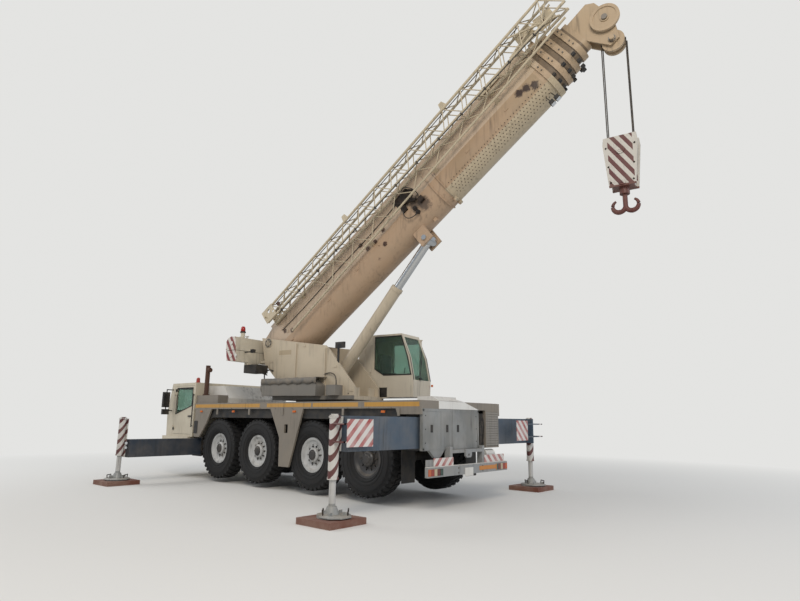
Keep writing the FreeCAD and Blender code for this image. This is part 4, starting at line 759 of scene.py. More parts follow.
# Boom: perforated belly, clamp ring, telescoping lock, caps, trough bracket and lamps
def boom_dressing():
    """Fittings on the base section."""
    bm = bmesh.new()
    for row in range(6):
        angle = 203 + row * 9.6
        normal = belly(0, angle, 1) - belly(0, angle)
        start = belly(6.22 + (0.044 if row % 2 else 0), angle)
        unit = bmesh.new()
        add_rod(unit, start - normal * 0.001, start + normal * 0.0015, 0.0125, 10)
        bm.from_mesh(repeated(unit, 33, (0.088, 0, 0)))
    dress("belly_holes", bm, ON_BOOM, "dark_steel", "boom")
    bm = bmesh.new()
    for x in (5.86, 6.08):
        outline = [(x, belly(x, a, 0.028).y, belly(x, a, 0.028).z) for a in range(180, 361, 12)]
        inner = [(x, belly(x, a, -0.002).y, belly(x, a, -0.002).z) for a in range(180, 361, 12)]
        outline = [(x, -0.438, 0.12)] + outline + [(x, 0.438, 0.12)]
        inner = [(x, -0.408, 0.12)] + inner + [(x, 0.408, 0.12)]
        low = [[bm.verts.new(Vector(p) + Vector((k, 0, 0))) for p in line] for k in (0, 0.02) for line in (outline,
            inner)]
        for k in range(len(outline) - 1):
            bm.faces.new((low[0][k], low[0][k + 1], low[1][k + 1], low[1][k]))
            bm.faces.new((low[2][k], low[2][k + 1], low[3][k + 1], low[3][k]))
            bm.faces.new((low[0][k], low[0][k + 1], low[2][k + 1], low[2][k]))
            bm.faces.new((low[1][k], low[1][k + 1], low[3][k + 1], low[3][k]))
        for k in (0, len(outline) - 1):
            bm.faces.new((low[0][k], low[1][k], low[3][k], low[2][k]))
    for x, side in ((5.40, -0.10), (6.07, -0.10), (6.07, 0.10)):
        z = -0.43 - math.sqrt(0.41 ** 2 - side ** 2)
        add_box(bm, (x - 0.045, side - 0.045, z - 0.075), (x + 0.045, side + 0.045, z + 0.01), bevel=0.006)
        add_rod(bm, (x - 0.052, side, z - 0.05), (x + 0.052, side, z - 0.05), 0.022, 16)
    for x, y, z, r in ((3.73, -0.41, -0.21, 0.05), (3.98, -0.41, -0.23, 0.045), (4.15, -0.409, -0.48, 0.05),
                       (0.62, -0.41, -0.12, 0.04), (3.62, -0.41, 0.02, 0.03),
                       (3.86, -0.41, -0.12, 0.032), (3.95, -0.41, 0.00, 0.03), (4.32, -0.41, -0.16, 0.03),
                       (4.02, -0.41, -0.38, 0.028)):
        add_rod(bm, (x, y + 0.004, z), (x, y - 0.014, z), r, 24)
        add_rod(bm, (x, y - 0.010, z), (x, y - 0.020, z), r * 0.55, 16)
    for x in (0.62, 2.1, 3.2, 7.0, 8.2):
        add_box(bm, (x - 0.05, -0.424, -0.425), (x + 0.05, -0.409, -0.375), bevel=0.004)
    add_plate(bm, [(0.45, -0.41, 0.06), (2.4, -0.41, 0.10), (2.4, -0.41, 0.14), (0.45, -0.41, 0.16)], 0.006, (0, -1, 0))
    dress("boom_rings_and_lugs", bm, ON_BOOM, "crane_paint", "boom")
    # Lock of the telescoping gear: plates, a cylinder, a spring can and hoses over the flank
    bm = bmesh.new()
    add_plate(bm, [(4.90, -0.41, 0.16), (5.36, -0.41, 0.18), (5.52, -0.41, -0.02), (5.30, -0.41, -0.20),
                   (4.96, -0.41, -0.10)], 0.016, (0, -1, 0))
    add_plate(bm, [(5.05, -0.426, 0.10), (5.30, -0.426, 0.12), (5.34, -0.426, -0.06), (5.08, -0.426, -0.08)], 0.035,
              (0, -1, 0))
    add_rod(bm, (5.02, -0.47, -0.02), (5.42, -0.47, -0.30), 0.036, 20)
    add_rod(bm, (5.42, -0.47, -0.30), (5.54, -0.47, -0.385), 0.016, 14)
    add_box(bm, (5.44, -0.50, -0.46), (5.58, -0.41, -0.33), bevel=0.012)
    for y, z in ((-0.414, -0.44), (-0.405, -0.56)):
        add_rod(bm, (5.26, y, z), (5.26, y - 0.05, z), 0.055, 24)
        add_rod(bm, (5.26, y - 0.05, z), (5.26, y - 0.062, z), 0.03, 6)
    add_box(bm, (4.98, -0.462, -0.30), (5.12, -0.41, -0.16), bevel=0.01)
    for x, z in ((4.94, 0.12), (5.32, 0.14), (5.46, -0.03), (5.00, -0.06)):
        add_bolt(bm, (x, -0.426, z), (0, -1, 0), 0.013)
    dress("telescope_lock", bm, ON_BOOM, "dark_steel", "boom")
    bm = bmesh.new()
    add_hose(bm, [(5.18, -0.455, 0.08), (5.30, -0.50, 0.22), (5.46, -0.50, 0.10), (5.56, -0.46, -0.16),
        (5.50, -0.45, -0.34)],
             0.011)
    add_hose(bm, [(5.02, -0.455, -0.22), (4.92, -0.49, -0.42), (5.06, -0.47, -0.60), (5.24, -0.44, -0.58)], 0.011)
    add_hose(bm, [(0.50, -0.425, 0.02), (1.4, -0.425, -0.01), (2.8, -0.425, 0.03), (4.2, -0.425, 0.0),
        (4.95, -0.43, 0.05)],
             0.010)
    dress("boom_hoses", bm, ON_BOOM, "hose_rubber", "boom", smooth=True)
    # Trough over the top edge: folded sheet with a row of lightening holes in front of its far wall
    bm = bmesh.new()
    add_box(bm, (7.98, -0.45, 0.395), (8.62, -0.30, 0.402))
    add_box(bm, (7.98, -0.456, 0.31), (8.62, -0.449, 0.44))
    add_box(bm, (7.98, -0.306, 0.40), (8.62, -0.299, 0.47))
    for k in range(6):
        add_box(bm, (7.98 + 0.118 * k, -0.452, 0.402), (8.00 + 0.118 * k, -0.302, 0.455))
    for x in (1.55, 2.6, 3.6, 4.6, 5.6, 6.6, 7.6):
        add_plate(bm, [(x, -0.30, 0.40), (x + 0.09, -0.30, 0.40), (x + 0.07, -0.30, 0.45), (x + 0.02, -0.30, 0.45)],
            0.012,
                  (0, -1, 0))
    dress("boom_top_trough", bm, ON_BOOM, "jib_paint", "boom")
    bm = bmesh.new()
    for x in (8.93, 9.07):
        add_box(bm, (x - 0.055, -0.31, -1.10), (x + 0.055, -0.20, -1.00), bevel=0.012)
        add_rod(bm, (x, -0.25, -1.0), (x, -0.18, -0.79), 0.010, 10)
    for x in (9.345, 9.615, 9.885):
        for angle in (212, 240, 268, 300, 328):
            spot = belly(x, angle, -0.03)
            add_box(bm, spot - Vector((0.03, 0.035, 0.03)), spot + Vector((0.055, 0.035, 0.03)), bevel=0.006)
    dress("boom_lamp_housings", bm, ON_BOOM, "black_plastic", "boom")
    bm = bmesh.new()
    for x in (8.93, 9.07):
        add_box(bm, (x - 0.047, -0.303, -1.104), (x + 0.047, -0.207, -1.099))
    dress("boom_lamp_glasses", bm, ON_BOOM, "clear_lens", "boom")


def collar_marks():
    """Bolt rows of the wear pad plates on the flanks of the collars."""
    for body, x, reach in (("boom", 9.255, 0.452), ("boom_section_2", 9.53, 0.392), ("boom_section_3", 9.80, 0.334),
                           ("boom_section_4", 10.07, 0.276)):
        bm = bmesh.new()
        for side in (-1, 1):
            for z in (0.10, -0.02, -0.28, -0.40):
                add_bolt(bm, (x, side * (reach - 0.004), z), (0, side, 0), 0.013)
        dress("collar_bolts_" + body, bm, ON_BOOM, "bolt_zinc", body)


def jib_dressing():
    """Third chord of the folded lattice jib over the boom's flank, its laces, hose line, lugs and spread feet."""
    low = [(0.85, -0.34), (2.7, -0.27), (4.4, -0.22), (6.1, -0.16), (8.4, -0.09), (10.3, -0.02)]
    bm = bmesh.new()
    for (a, za), (b, zb) in zip(low, low[1:]):
        add_rod(bm, (a, -0.575, za), (b, -0.575, zb), 0.026, 14)
    for k in range(2, 12):
        x = 0.95 + 0.76 * k
        height = -0.34 + 0.033 * (x - 0.85)
        for step in (-0.38, 0.38):
            if 0.6 < x + step < 10.2:
                add_rod(bm, (x, -0.575, height), (x + step, -0.521, 0.27 - 0.0129 * (x + step - 0.5)), 0.012, 10)
    for x in (3.9, 6.2, 8.2, 9.2):
        height = -0.34 + 0.033 * (x - 0.85)
        add_box(bm, (x - 0.06, -0.575, height - 0.02), (x + 0.06, -0.409, height + 0.02), bevel=0.004)
    for x, z in ((3.82, 0.66), (7.31, 0.72)):
        add_plate(bm, [(x - 0.09, -0.73, z - 0.03), (x + 0.09, -0.73, z - 0.03), (x + 0.05, -0.73, z + 0.13),
                       (x - 0.05, -0.73, z + 0.13)], 0.02, (0, -1, 0))
    for x, z, tilt in ((9.55, 0.50, 0.2), (10.05, 0.42, -0.1)):
        add_plate(bm, [(x - 0.22, -0.46, z - 0.14), (x + 0.20, -0.46, z - 0.20), (x + 0.24, -0.46, z + 0.16 + tilt / 4),
                       (x - 0.16, -0.46, z + 0.24)], 0.016, (0, -1, 0))
    for a, b in (((9.1, -0.46, 0.42), (10.35, -0.46, 0.62)), ((9.25, -0.72, 0.66), (10.3, -0.48, 0.20)),
                 ((9.6, -0.48, 0.18), (10.45, -0.74, 0.66)), ((9.0, -0.72, 0.22), (9.9, -0.48, 0.58))):
        add_rod(bm, a, b, 0.022, 12)
    dress("jib_third_chord", bm, ON_BOOM, "jib_paint", "boom")
    bm = bmesh.new()
    add_hose(bm, [(0.9, -0.775, 0.20), (2.6, -0.775, 0.19), (5.0, -0.775, 0.17), (7.6, -0.775, 0.13),
        (9.9, -0.775, 0.10)],
             0.012)
    add_hose(bm, [(0.9, -0.70, 0.545), (3.0, -0.70, 0.565), (6.2, -0.70, 0.60), (9.6, -0.70, 0.65)], 0.010)
    for k in range(13):
        x = 1.0 + 0.72 * k
        z = 0.198 - 0.0113 * (x - 0.9)
        add_box(bm, (x - 0.015, -0.79, z - 0.012), (x + 0.015, -0.745, z + 0.06), bevel=0.003)
    dress("jib_hoses", bm, ON_BOOM, "hose_rubber", "boom", smooth=True)
    bm = bmesh.new()
    for x, z, r in ((1.0, 0.43, 0.055), (9.5, 0.52, 0.05), (10.02, 0.42, 0.05)):
        y = -0.477 if x > 5 else -0.765
        add_rod(bm, (x, y + 0.004, z), (x, y - 0.006, z), r, 24)
    dress("jib_pin_holes", bm, ON_BOOM, "rusty_steel", "boom")


def head_dressing():
    """Sheave pins with their bolts, and a round cap on the flank of the head."""
    bm = bmesh.new()
    for y in (-0.165, 0.165):
        sign = 1 if y > 0 else -1
        add_rod(bm, (10.6, y - sign * 0.005, -0.96), (10.6, y + sign * 0.03, -0.96), 0.075, 28)
        add_rod(bm, (10.6, y + sign * 0.03, -0.96), (10.6, y + sign * 0.045, -0.96), 0.035, 6)
        for turn in range(6):
            angle = math.radians(turn * 60)
            add_bolt(bm, (10.6 + 0.057 * math.cos(angle), y + sign * 0.03, -0.96 + 0.057 * math.sin(angle)),
                (0, sign, 0),
                     0.007)
    add_rod(bm, (10.82, -0.25, -0.5), (10.82, -0.275, -0.5), 0.06, 24)
    dress("head_pins", bm, ON_BOOM, "bolt_zinc", "boom_section_5")


def add_tapered(bm, points, radii, sides=18):
    """Round bar through points whose thickness follows its own list, closed at both ends."""
    points = [Vector(point) for point in points]
    rings = []
    for k, point in enumerate(points):
        run = points[min(k + 1, len(points) - 1)] - points[max(k - 1, 0)]
        turn = run.to_track_quat("Z", "Y").to_matrix()
        rings.append([bm.verts.new(point + turn @ Vector((radii[k] * math.cos(2 * math.pi * n / sides),
                                                          radii[k] * math.sin(2 * math.pi * n / sides), 0)))
                      for n in range(sides)])
    for a, b in zip(rings, rings[1:]):
        for n in range(sides):
            bm.faces.new((a[n], a[(n + 1) % sides], b[(n + 1) % sides], b[n]))
    bm.faces.new(rings[0])
    bm.faces.new(rings[-1])


def hook_dressing():
    """Bosses and bolts on the hook block's cheeks, and the horns' outer halves that curl up to their tips."""
    low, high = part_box("hook_block")
    middle = (low + high) / 2
    base = Matrix.Translation(Vector((middle.x, middle.y, 0))) @ TOP_TURN
    bm = bmesh.new()
    for sign in (-1, 1):
        face = sign * 0.160
        for z, r in ((high.z - 0.30, 0.085), (low.z + 0.62, 0.075)):
            add_rod(bm, (0, face, z), (0, face + sign * 0.022, z), r, 28)
            add_rod(bm, (0, face + sign * 0.022, z), (0, face + sign * 0.034, z), r * 0.62, 24)
            add_rod(bm, (0, face + sign * 0.034, z), (0, face + sign * 0.044, z), r * 0.3, 6)
    dress("hook_block_bosses", bm, base, "block_paint", "hook")
    bm = bmesh.new()
    for sign in (-1, 1):
        face = sign * 0.160
        for x, z in ((-0.27, high.z - 0.22), (0.27, high.z - 0.22), (-0.21, low.z + 0.62), (0.21, low.z + 0.62),
                     (-0.24, high.z - 0.62), (0.24, high.z - 0.62)):
            add_bolt(bm, (x, face, z), (0, sign, 0), 0.013)
    dress("hook_block_bolts", bm, base, "dark_steel", "hook")
    bm = bmesh.new()
    ring = 0.12
    centre = low.z + 0.166
    for sign in (-1, 1):
        spots = []
        radii = []
        for k in range(15):
            angle = math.radians(-96 + 11.5 * k)
            spots.append((sign * (ring + ring * math.cos(angle)), 0, centre + ring * math.sin(angle)))
            radii.append(0.049 - 0.027 * (k / 14) ** 1.5)
        add_tapered(bm, spots, radii)
    dress("hook_horns", bm, base, "block_paint", "hook", smooth=True)


# Superstructure: weight beacon, lamp, boxes, cover on the side box, valve block, winch flanges, steps and rails
def top_dressing():
    """Fittings of the superstructure."""
    bm = bmesh.new()
    add_turned(bm, [(0.0, 0.16), (0.03, 0.155), (0.052, 0.13), (0.058, 0.09), (0.060, 0.015), (0.0, 0.015),
        (0.0, 0.16)],
               Matrix.Translation((-2.03, -0.97, 3.795)), 28)
    dress("beacon_weight_dome", bm, ON_TOP, "red_lens", "superstructure", smooth=True)
    bm = bmesh.new()
    add_turned(bm, [(0.0, 0.03), (0.072, 0.03), (0.075, 0.0), (0.0, -0.01), (0.0, 0.03)],
        Matrix.Translation((-2.03, -0.97, 3.785)),
               28)
    add_box(bm, (-1.86, -1.02, 2.73), (-1.42, -0.60, 2.94), bevel=0.02)
    add_box(bm, (0.69, -0.505, 3.28), (0.97, -0.455, 3.43), bevel=0.012)
    add_box(bm, (0.76, -0.50, 2.80), (0.81, -0.47, 3.29), bevel=0.004)
    add_box(bm, (-1.63, -1.045, 3.235), (-1.53, -0.955, 3.325), bevel=0.012)
    add_rod(bm, (-1.87, -1.0, 3.26), (-1.60, -1.0, 3.27), 0.014, 10)
    dress("superstructure_black_boxes", bm, ON_TOP, "black_plastic", "superstructure")
    bm = bmesh.new()
    for x, z in ((-1.40, 3.05), (-1.02, 2.32), (-0.30, 3.40), (0.30, 2.32), (0.92, 2.32), (0.72, 2.85), (1.22, 2.28)):
        add_box(bm, (x - 0.05, -0.522, z - 0.03), (x + 0.05, -0.509, z + 0.03), bevel=0.004)
    add_plate(bm, [(-1.15, -0.51, 3.17), (-0.70, -0.51, 3.17), (-0.70, -0.51, 3.335), (-1.15, -0.51, 3.335)], 0.004,
        (0, -1, 0))
    dress("side_plate_lugs", bm, ON_TOP, "turntable_paint", "superstructure")
    bm = bmesh.new()
    for x, z, r in ((0.108, 2.483, 0.085), (-1.54, 3.54, 0.115)):
        for sign in (-1, 1):
            add_rod(bm, (x, sign * 0.505, z), (x, sign * 0.53, z), r, 32)
            for k in range(6):
                angle = math.radians(k * 60 + 30)
                add_bolt(bm, (x + r * 0.75 * math.cos(angle), sign * 0.53, z + r * 0.75 * math.sin(angle)),
                    (0, sign, 0),
                         0.009)
    for k in range(14):
        x = -1.20 + 0.18 * k
        add_bolt(bm, (x, -0.512, 2.20), (0, -1, 0), 0.011)
    dress("superstructure_pins_and_bolts", bm, ON_TOP, "bolt_zinc", "superstructure")
    # Tarpaulin laid over the grey side box, and its hose loop
    bm = bmesh.new()
    cuts = 18
    rows = []
    for i in range(cuts + 1):
        x = -1.32 + 1.80 * i / cuts
        wave = 0.012 * math.sin(i * 1.9) + 0.006 * math.sin(i * 4.1)
        rows.append([bm.verts.new(p) for p in ((x, -0.515, 2.592), (x, -0.60, 2.588 + wave / 2),
            (x, -0.80, 2.584 + wave / 2),
                                               (x, -0.905, 2.572), (x, -0.918, 2.50 + wave),
                                                   (x, -0.914 - wave, 2.43 + wave * 2))])
    for a, b in zip(rows, rows[1:]):
        for k in range(5):
            bm.faces.new((a[k], b[k], b[k + 1], a[k + 1]))
    sheet = dress("side_box_cover", bm, ON_TOP, "tarpaulin", "superstructure", smooth=True)
    thick = sheet.modifiers.new("thickness", "SOLIDIFY")
    thick.thickness = 0.003
    bm = bmesh.new()
    add_hose(bm, [(-1.38, -0.62, 2.42), (-1.52, -0.58, 2.50), (-1.56, -0.60, 2.72), (-1.42, -0.56, 2.86),
        (-1.30, -0.53, 2.80)],
             0.016)
    for y in (-0.82, -0.74, -0.66, -0.58):
        add_hose(bm, [(-1.90, y, 2.90), (-1.80, y + 0.02, 2.82), (-1.66, y * 0.9, 2.78), (-1.50, -0.54, 2.70)], 0.013)
    add_hose(bm, [(0.85, -0.62, 2.39), (0.86, -0.60, 2.60), (0.60, -0.56, 2.72), (0.40, -0.53, 2.66)], 0.013)
    dress("superstructure_hoses", bm, ON_TOP, "hose_rubber", "superstructure", smooth=True)
    bm = bmesh.new()
    for x in (-1.94, -2.17):
        for y in (-0.9, 0.9):
            add_rod(bm, (x, y, 3.65), (x, y, 3.685), 0.03, 12)
            add_rod(bm, (x, y, 3.685), (x, y, 3.70), 0.05, 12)
    add_rod(bm, (-1.855, -1.302, 3.16), (-1.855, -1.316, 3.16), 0.035, 16)
    for z in (3.16, 3.48):
        add_rod(bm, (-2.05, -1.302, z), (-2.05, -1.318, z), 0.045, 20)
        add_rod(bm, (-2.05, 1.302, z), (-2.05, 1.318, z), 0.045, 20)
    dress("weight_lugs", bm, ON_TOP, "white_enamel", "superstructure")


def crane_cab_dressing():
    """Window seals, wiper, lamps, grab bars, roof hatch, step and door glass of the crane cab."""
    bm = bmesh.new()
    near = [(1.13, 2.85), (1.40, 2.69), (2.185, 2.69), (2.09, 3.11), (1.90, 3.64), (1.13, 3.64)]
    add_ring(bm, [(x, 0.556, z) for x, z in near], 0.030, 0.006, (0, -1, 0))
    add_ring(bm, [(1.13, 1.418, 2.70), (1.92, 1.418, 2.70), (1.92, 1.418, 3.54), (1.13, 1.418, 3.54)], 0.030, 0.004,
        (0, 1, 0))
    for y in (0.575, 1.365):
        for a, b in (((1.905, y, 3.665), (2.150, y, 3.11)), ((2.150, y, 3.11), (2.262, y, 2.56))):
            add_rod(bm, a, b, 0.012, 8)
    dress("crane_cab_seals", bm, ON_TOP, "seal_rubber", "superstructure")
    bm = bmesh.new()
    add_rod(bm, (2.265, 0.86, 2.60), (2.215, 1.02, 3.05), 0.009, 8)
    add_box(bm, (2.205, 0.98, 2.90), (2.222, 1.00, 3.30), Matrix.Rotation(0.0, 4, "X"))
    add_box(bm, (2.262, 0.80, 2.565), (2.30, 0.92, 2.61), bevel=0.006)
    dress("crane_cab_wiper", bm, ON_TOP, "black_plastic", "superstructure")
    bm = bmesh.new()
    add_box(bm, (2.30, 1.33, 2.42), (2.335, 1.38, 2.475), bevel=0.006)
    dress("crane_cab_turn_lamp", bm, ON_TOP, "amber_lens", "superstructure")
    bm = bmesh.new()
    for x in (0.84, 1.02):
        add_rod(bm, (x, 0.530, 2.78), (x, 0.530, 3.46), 0.013, 12)
        for z in (2.80, 3.44):
            add_rod(bm, (x, 0.530, z), (x, 0.562, z), 0.011, 10)
    add_box(bm, (0.72, 0.66, 3.70), (1.32, 1.28, 3.722), bevel=0.008)
    add_box(bm, (1.18, 0.548, 2.385), (1.52, 0.562, 2.405), bevel=0.003)
    add_box(bm, (1.18, 0.548, 2.125), (1.52, 0.562, 2.145), bevel=0.003)
    dress("crane_cab_rails_and_hatch", bm, ON_TOP, "crane_cab_paint", "superstructure")
    bm = bmesh.new()
    add_plate(bm, [(1.20, 0.5565, 2.145), (1.50, 0.5565, 2.145), (1.50, 0.5565, 2.385), (1.20, 0.5565, 2.385)], 0.003,
              (0, -1, 0))
    for k in range(6):
        z = 2.24 + 0.028 * k
        add_box(bm, (0.72, 0.552, z), (1.04, 0.558, z + 0.010))
    dress("crane_cab_step_and_louvres", bm, ON_TOP, "black_plastic", "superstructure")
    bm = bmesh.new()
    add_box(bm, (1.135, 1.402, 2.705), (1.915, 1.408, 3.535))
    dress("crane_cab_door_glass", bm, ON_TOP, "tinted_glass", "crane_cab_door")
    bm = bmesh.new()
    add_rod(bm, (1.16, 1.438, 2.44), (1.16, 1.438, 2.66), 0.011, 10)
    for z in (2.46, 2.64):
        add_rod(bm, (1.16, 1.416, z), (1.16, 1.438, z), 0.009, 8)
    dress("crane_cab_door_handle", bm, ON_TOP, "black_plastic", "crane_cab_door")


def cushion(name, low, high, matrix, body, face_axis, channels=4):
    """Crowned upholstery pad between two corners: rounded edges and sewn channels across its face."""
    low, high = Vector(low), Vector(high)
    middle, half = (low + high) / 2, (high - low) / 2
    bm = bmesh.new()
    bmesh.ops.create_cube(bm, size=2.0)
    bmesh.ops.subdivide_edges(bm, edges=bm.edges, cuts=23, use_grid_fill=True)
    wide = 1 if half.y > 0.1 else 0
    run = 2 if face_axis == 0 else 0
    for vert in bm.verts:
        spot = vert.co.copy()
        reach = sum(abs(value) ** 7 for value in spot) ** (1 / 7)
        spot /= reach
        depth = 0.06 * math.cos(math.pi * channels * spot[run]) ** 8 * (1 - spot[wide] ** 6)
        spot[face_axis] *= 1 - depth + 0.10 * (1 - spot[wide] ** 2) * (1 - spot[run] ** 2) - 0.04
        vert.co = Vector([middle[k] + half[k] * spot[k] for k in range(3)])
    pad = dress(name, bm, matrix, "seat_fabric", body, smooth=True)
    return pad


SEAT_LEVEL = 1.435  # underside of the carrier cab's seat cushions, metres


def seats():
    """Upholstered seats of both cabs over their solids, and the crane driver's seat with its arm rests and levers."""
    cushion("crane_seat_cushion", (1.14, 0.72, 2.495), (1.68, 1.20, 2.64), ON_TOP, "superstructure", 2)
    cushion("crane_seat_back", (1.09, 0.73, 2.58), (1.215, 1.19, 3.24), ON_TOP, "superstructure", 0)
    bm = bmesh.new()
    add_box(bm, (1.22, 0.78, 2.21), (1.58, 1.14, 2.50), bevel=0.03)
    for y in (0.71, 1.21):
        add_box(bm, (1.16, y - 0.035, 2.70), (1.55, y + 0.035, 2.76), bevel=0.018)
        add_box(bm, (1.50, y - 0.05, 2.66), (1.64, y + 0.05, 2.75), bevel=0.012)
        add_rod(bm, (1.58, y, 2.75), (1.60, y, 2.88), 0.010, 10)
        add_turned(bm, [(0, 0.045), (0.016, 0.04), (0.022, 0.02), (0.014, 0.0), (0, 0.0), (0, 0.045)],
                   Matrix.Translation((1.60, y, 2.87)), 16)
    stand = dress("crane_seat_stand", bm, ON_TOP, "black_plastic", "superstructure")
    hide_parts("crane_cab_seat")
    for label, middle in (("left", 0.70), ("right", -0.70)):
        cushion("driver_cushion_" + label, (5.155, middle - 0.30, SEAT_LEVEL - 0.02),
            (5.77, middle + 0.30, SEAT_LEVEL + 0.15),
                DECK, "carrier", 2)
        cushion("driver_back_" + label, (5.115, middle - 0.30, SEAT_LEVEL - 0.02),
            (5.295, middle + 0.30, SEAT_LEVEL + 0.80),
                DECK, "carrier", 0)


def lift_dressing():
    """Gland, clamp bands and a pipe along the lift cylinder's barrel."""
    foot = on_top(0.28, 0, 2.45)
    eye = on_boom(4.95, 0, -1.05)
    run = (eye - foot).normalized()
    bm = bmesh.new()
    for at, r in ((0.95, 0.143), (1.75, 0.143), (2.86, 0.152), (2.90, 0.148)):
        add_rod(bm, foot + run * (at - 0.02), foot + run * (at + 0.02), r, 40)
    side = run.cross(ACROSS).normalized()
    pipe = [foot + run * at + side * 0.162 for at in (0.95, 1.5, 2.2, 2.84)]
    add_hose(bm, pipe, 0.012)
    for at in (0.95, 2.84):
        add_rod(bm, foot + run * at + side * 0.13, foot + run * at + side * 0.17, 0.020, 10)
    finish_piece("lift_cylinder_bands", new_mesh("lift_cylinder_bands", bm), M["turntable_paint"], "lift_barrel")


# Carrier: tape, tread plates, side lamps, reflectors, rear panel, bumper, boards, hoses, rails
def carrier_dressing():
    """Fittings of the carrier's body."""
    bm = bmesh.new()
    for side in (-1, 1):
        for a, b in ((-3.10, -1.68), (-1.50, -0.11), (-0.05, 1.54), (1.82, 4.73)):
            add_box(bm, (a, side * 1.3745 if side > 0 else -1.3765, 1.866), (b, 1.3765 if side > 0 else -1.3745, 1.952))
    dress("side_tape", bm, DECK, "reflex_tape", "carrier")
    bm = bmesh.new()
    for side in (-1, 1):
        low, high = sorted((side * 0.87, side * 1.365))
        for a, b in ((-3.10, -1.30), (-1.29, 0.50), (0.51, 2.10), (2.11, 3.78)):
            add_box(bm, (a, low, 1.9795), (b, high, 1.9835))
    add_box(bm, (-2.55, -0.84, 1.9795), (-0.35, 0.84, 1.9835))
    add_box(bm, (2.35, -0.84, 1.9795), (3.76, 0.84, 1.9835))
    dress("deck_tread_plates", bm, DECK, "deck_tread", "carrier")
    bm = bmesh.new()
    for side in (-1, 1):
        for x in (-2.2, 0.506, 2.9, 4.4):
            add_box(bm, (x - 0.05, side * 1.385 - 0.012, 1.745), (x + 0.05, side * 1.385 + 0.012, 1.79), bevel=0.006)
    dress("side_marker_lamps", bm, DECK, "amber_lens", "carrier")
    bm = bmesh.new()
    for x in (-2.63, -1.1, 0.9, 2.2, 3.6):
        for side in (-1, 1):
            add_box(bm, (x, side * 1.381 - 0.008, 1.69), (x + 0.06, side * 1.381 + 0.008, 1.835), bevel=0.004)
    dress("side_hinges", bm, DECK, "body_paint", "carrier")
    # Rear panel: frame, latches, ribs and bolts
    bm = bmesh.new()
    add_ring(bm, [(-3.138, 1.30, 1.80), (-3.138, -0.52, 1.80), (-3.138, -0.52, 1.09), (-3.138, 1.30, 1.09)], 0.035,
        0.006,
             (-1, 0, 0))
    for y in (0.75, 0.39):
        add_box(bm, (-3.144, y - 0.012, 1.12), (-3.137, y + 0.012, 1.79), bevel=0.003)
    dress("rear_panel_frame", bm, DECK, "cover_paint", "carrier")
    bm = bmesh.new()
    for y in (1.05, 0.56, 0.20):
        add_box(bm, (-3.144, y - 0.035, 1.39), (-3.137, y + 0.035, 1.53), bevel=0.003)
    for y in (1.24, -0.45):
        for z in (1.2, 1.45, 1.7):
            add_bolt(bm, (-3.138, y, z), (-1, 0, 0), 0.007)
    dress("rear_latches", bm, DECK, "black_plastic", "carrier")
    bm = bmesh.new()
    for k in range(14):
        z = 1.10 + 0.05 * k
        add_plate(bm, [(-3.139, -1.32, z), (-3.139, -0.82, z), (-3.144, -0.82, z + 0.012),
            (-3.144, -1.32, z + 0.012)], 0.034,
                  (0, 0, 1))
    dress("rear_louvres", bm, DECK, "rear_taupe", "carrier")
    # Hood flap: white, brightened as painted highlight
    bm = bmesh.new()
    add_plate(bm, [(-3.139, 0.83, 1.832), (-3.139, -0.55, 1.832), (-3.139, 0.0, 1.984), (-3.139, 0.83, 1.984)], 0.006,
              (-1, 0, 0))
    add_box(bm, (-3.145, 0.0, 1.980), (-2.60, 0.83, 1.986))
    dress("rear_hood_flap", bm, DECK, "hood_white_sunlit", "carrier")
    bm = bmesh.new()
    for k in range(7):
        y = -0.50 - 0.045 * k
        add_hose(bm, [(-3.088, y, 1.76), (-3.11, y - 0.02, 1.55), (-3.12, y + 0.02 * (k % 3), 1.30),
            (-3.088, y, 1.06)], 0.012)
    dress("rear_hoses", bm, DECK, "hose_rubber", "carrier", smooth=True)
    # Bumper: blank white plate, boards, white top strip, tank
    bm = bmesh.new()
    add_box(bm, (-3.312, -0.07, 0.56), (-3.304, 0.21, 0.72), bevel=0.002)
    add_box(bm, (-3.300, -1.37, 0.7755), (-3.236, 1.37, 0.784), bevel=0.002)
    dress("bumper_plate_and_strip", bm, DECK, "white_enamel", "carrier")
    bm = bmesh.new()
    add_box(bm, (-3.247, 0.51, 0.745), (-3.239, 1.13, 0.93), bevel=0.002)
    add_box(bm, (-3.247, -1.345, 0.745), (-3.239, -0.58, 0.93), bevel=0.002)
    dress("bumper_boards", bm, DECK, "board_left", "carrier")
    bm = bmesh.new()
    add_rod(bm, (-3.05, -1.15, 0.93), (-3.05, -0.82, 0.93), 0.10, 28)
    dress("rear_air_tank", bm, DECK, "white_enamel", "carrier", smooth=False)
    bm = bmesh.new()
    for y in (1.20, -1.20):
        for z in (0.64, 0.73):
            add_bolt(bm, (-3.304, y * 0.35, z), (-1, 0, 0), 0.012)
    for side in (-1, 1):
        for k in range(12):
            add_bolt(bm, (-2.4 + 0.6 * k, side * 1.3765, 1.84), (0, side, 0), 0.008)
    dress("carrier_bolts", bm, DECK, "bolt_zinc", "carrier")
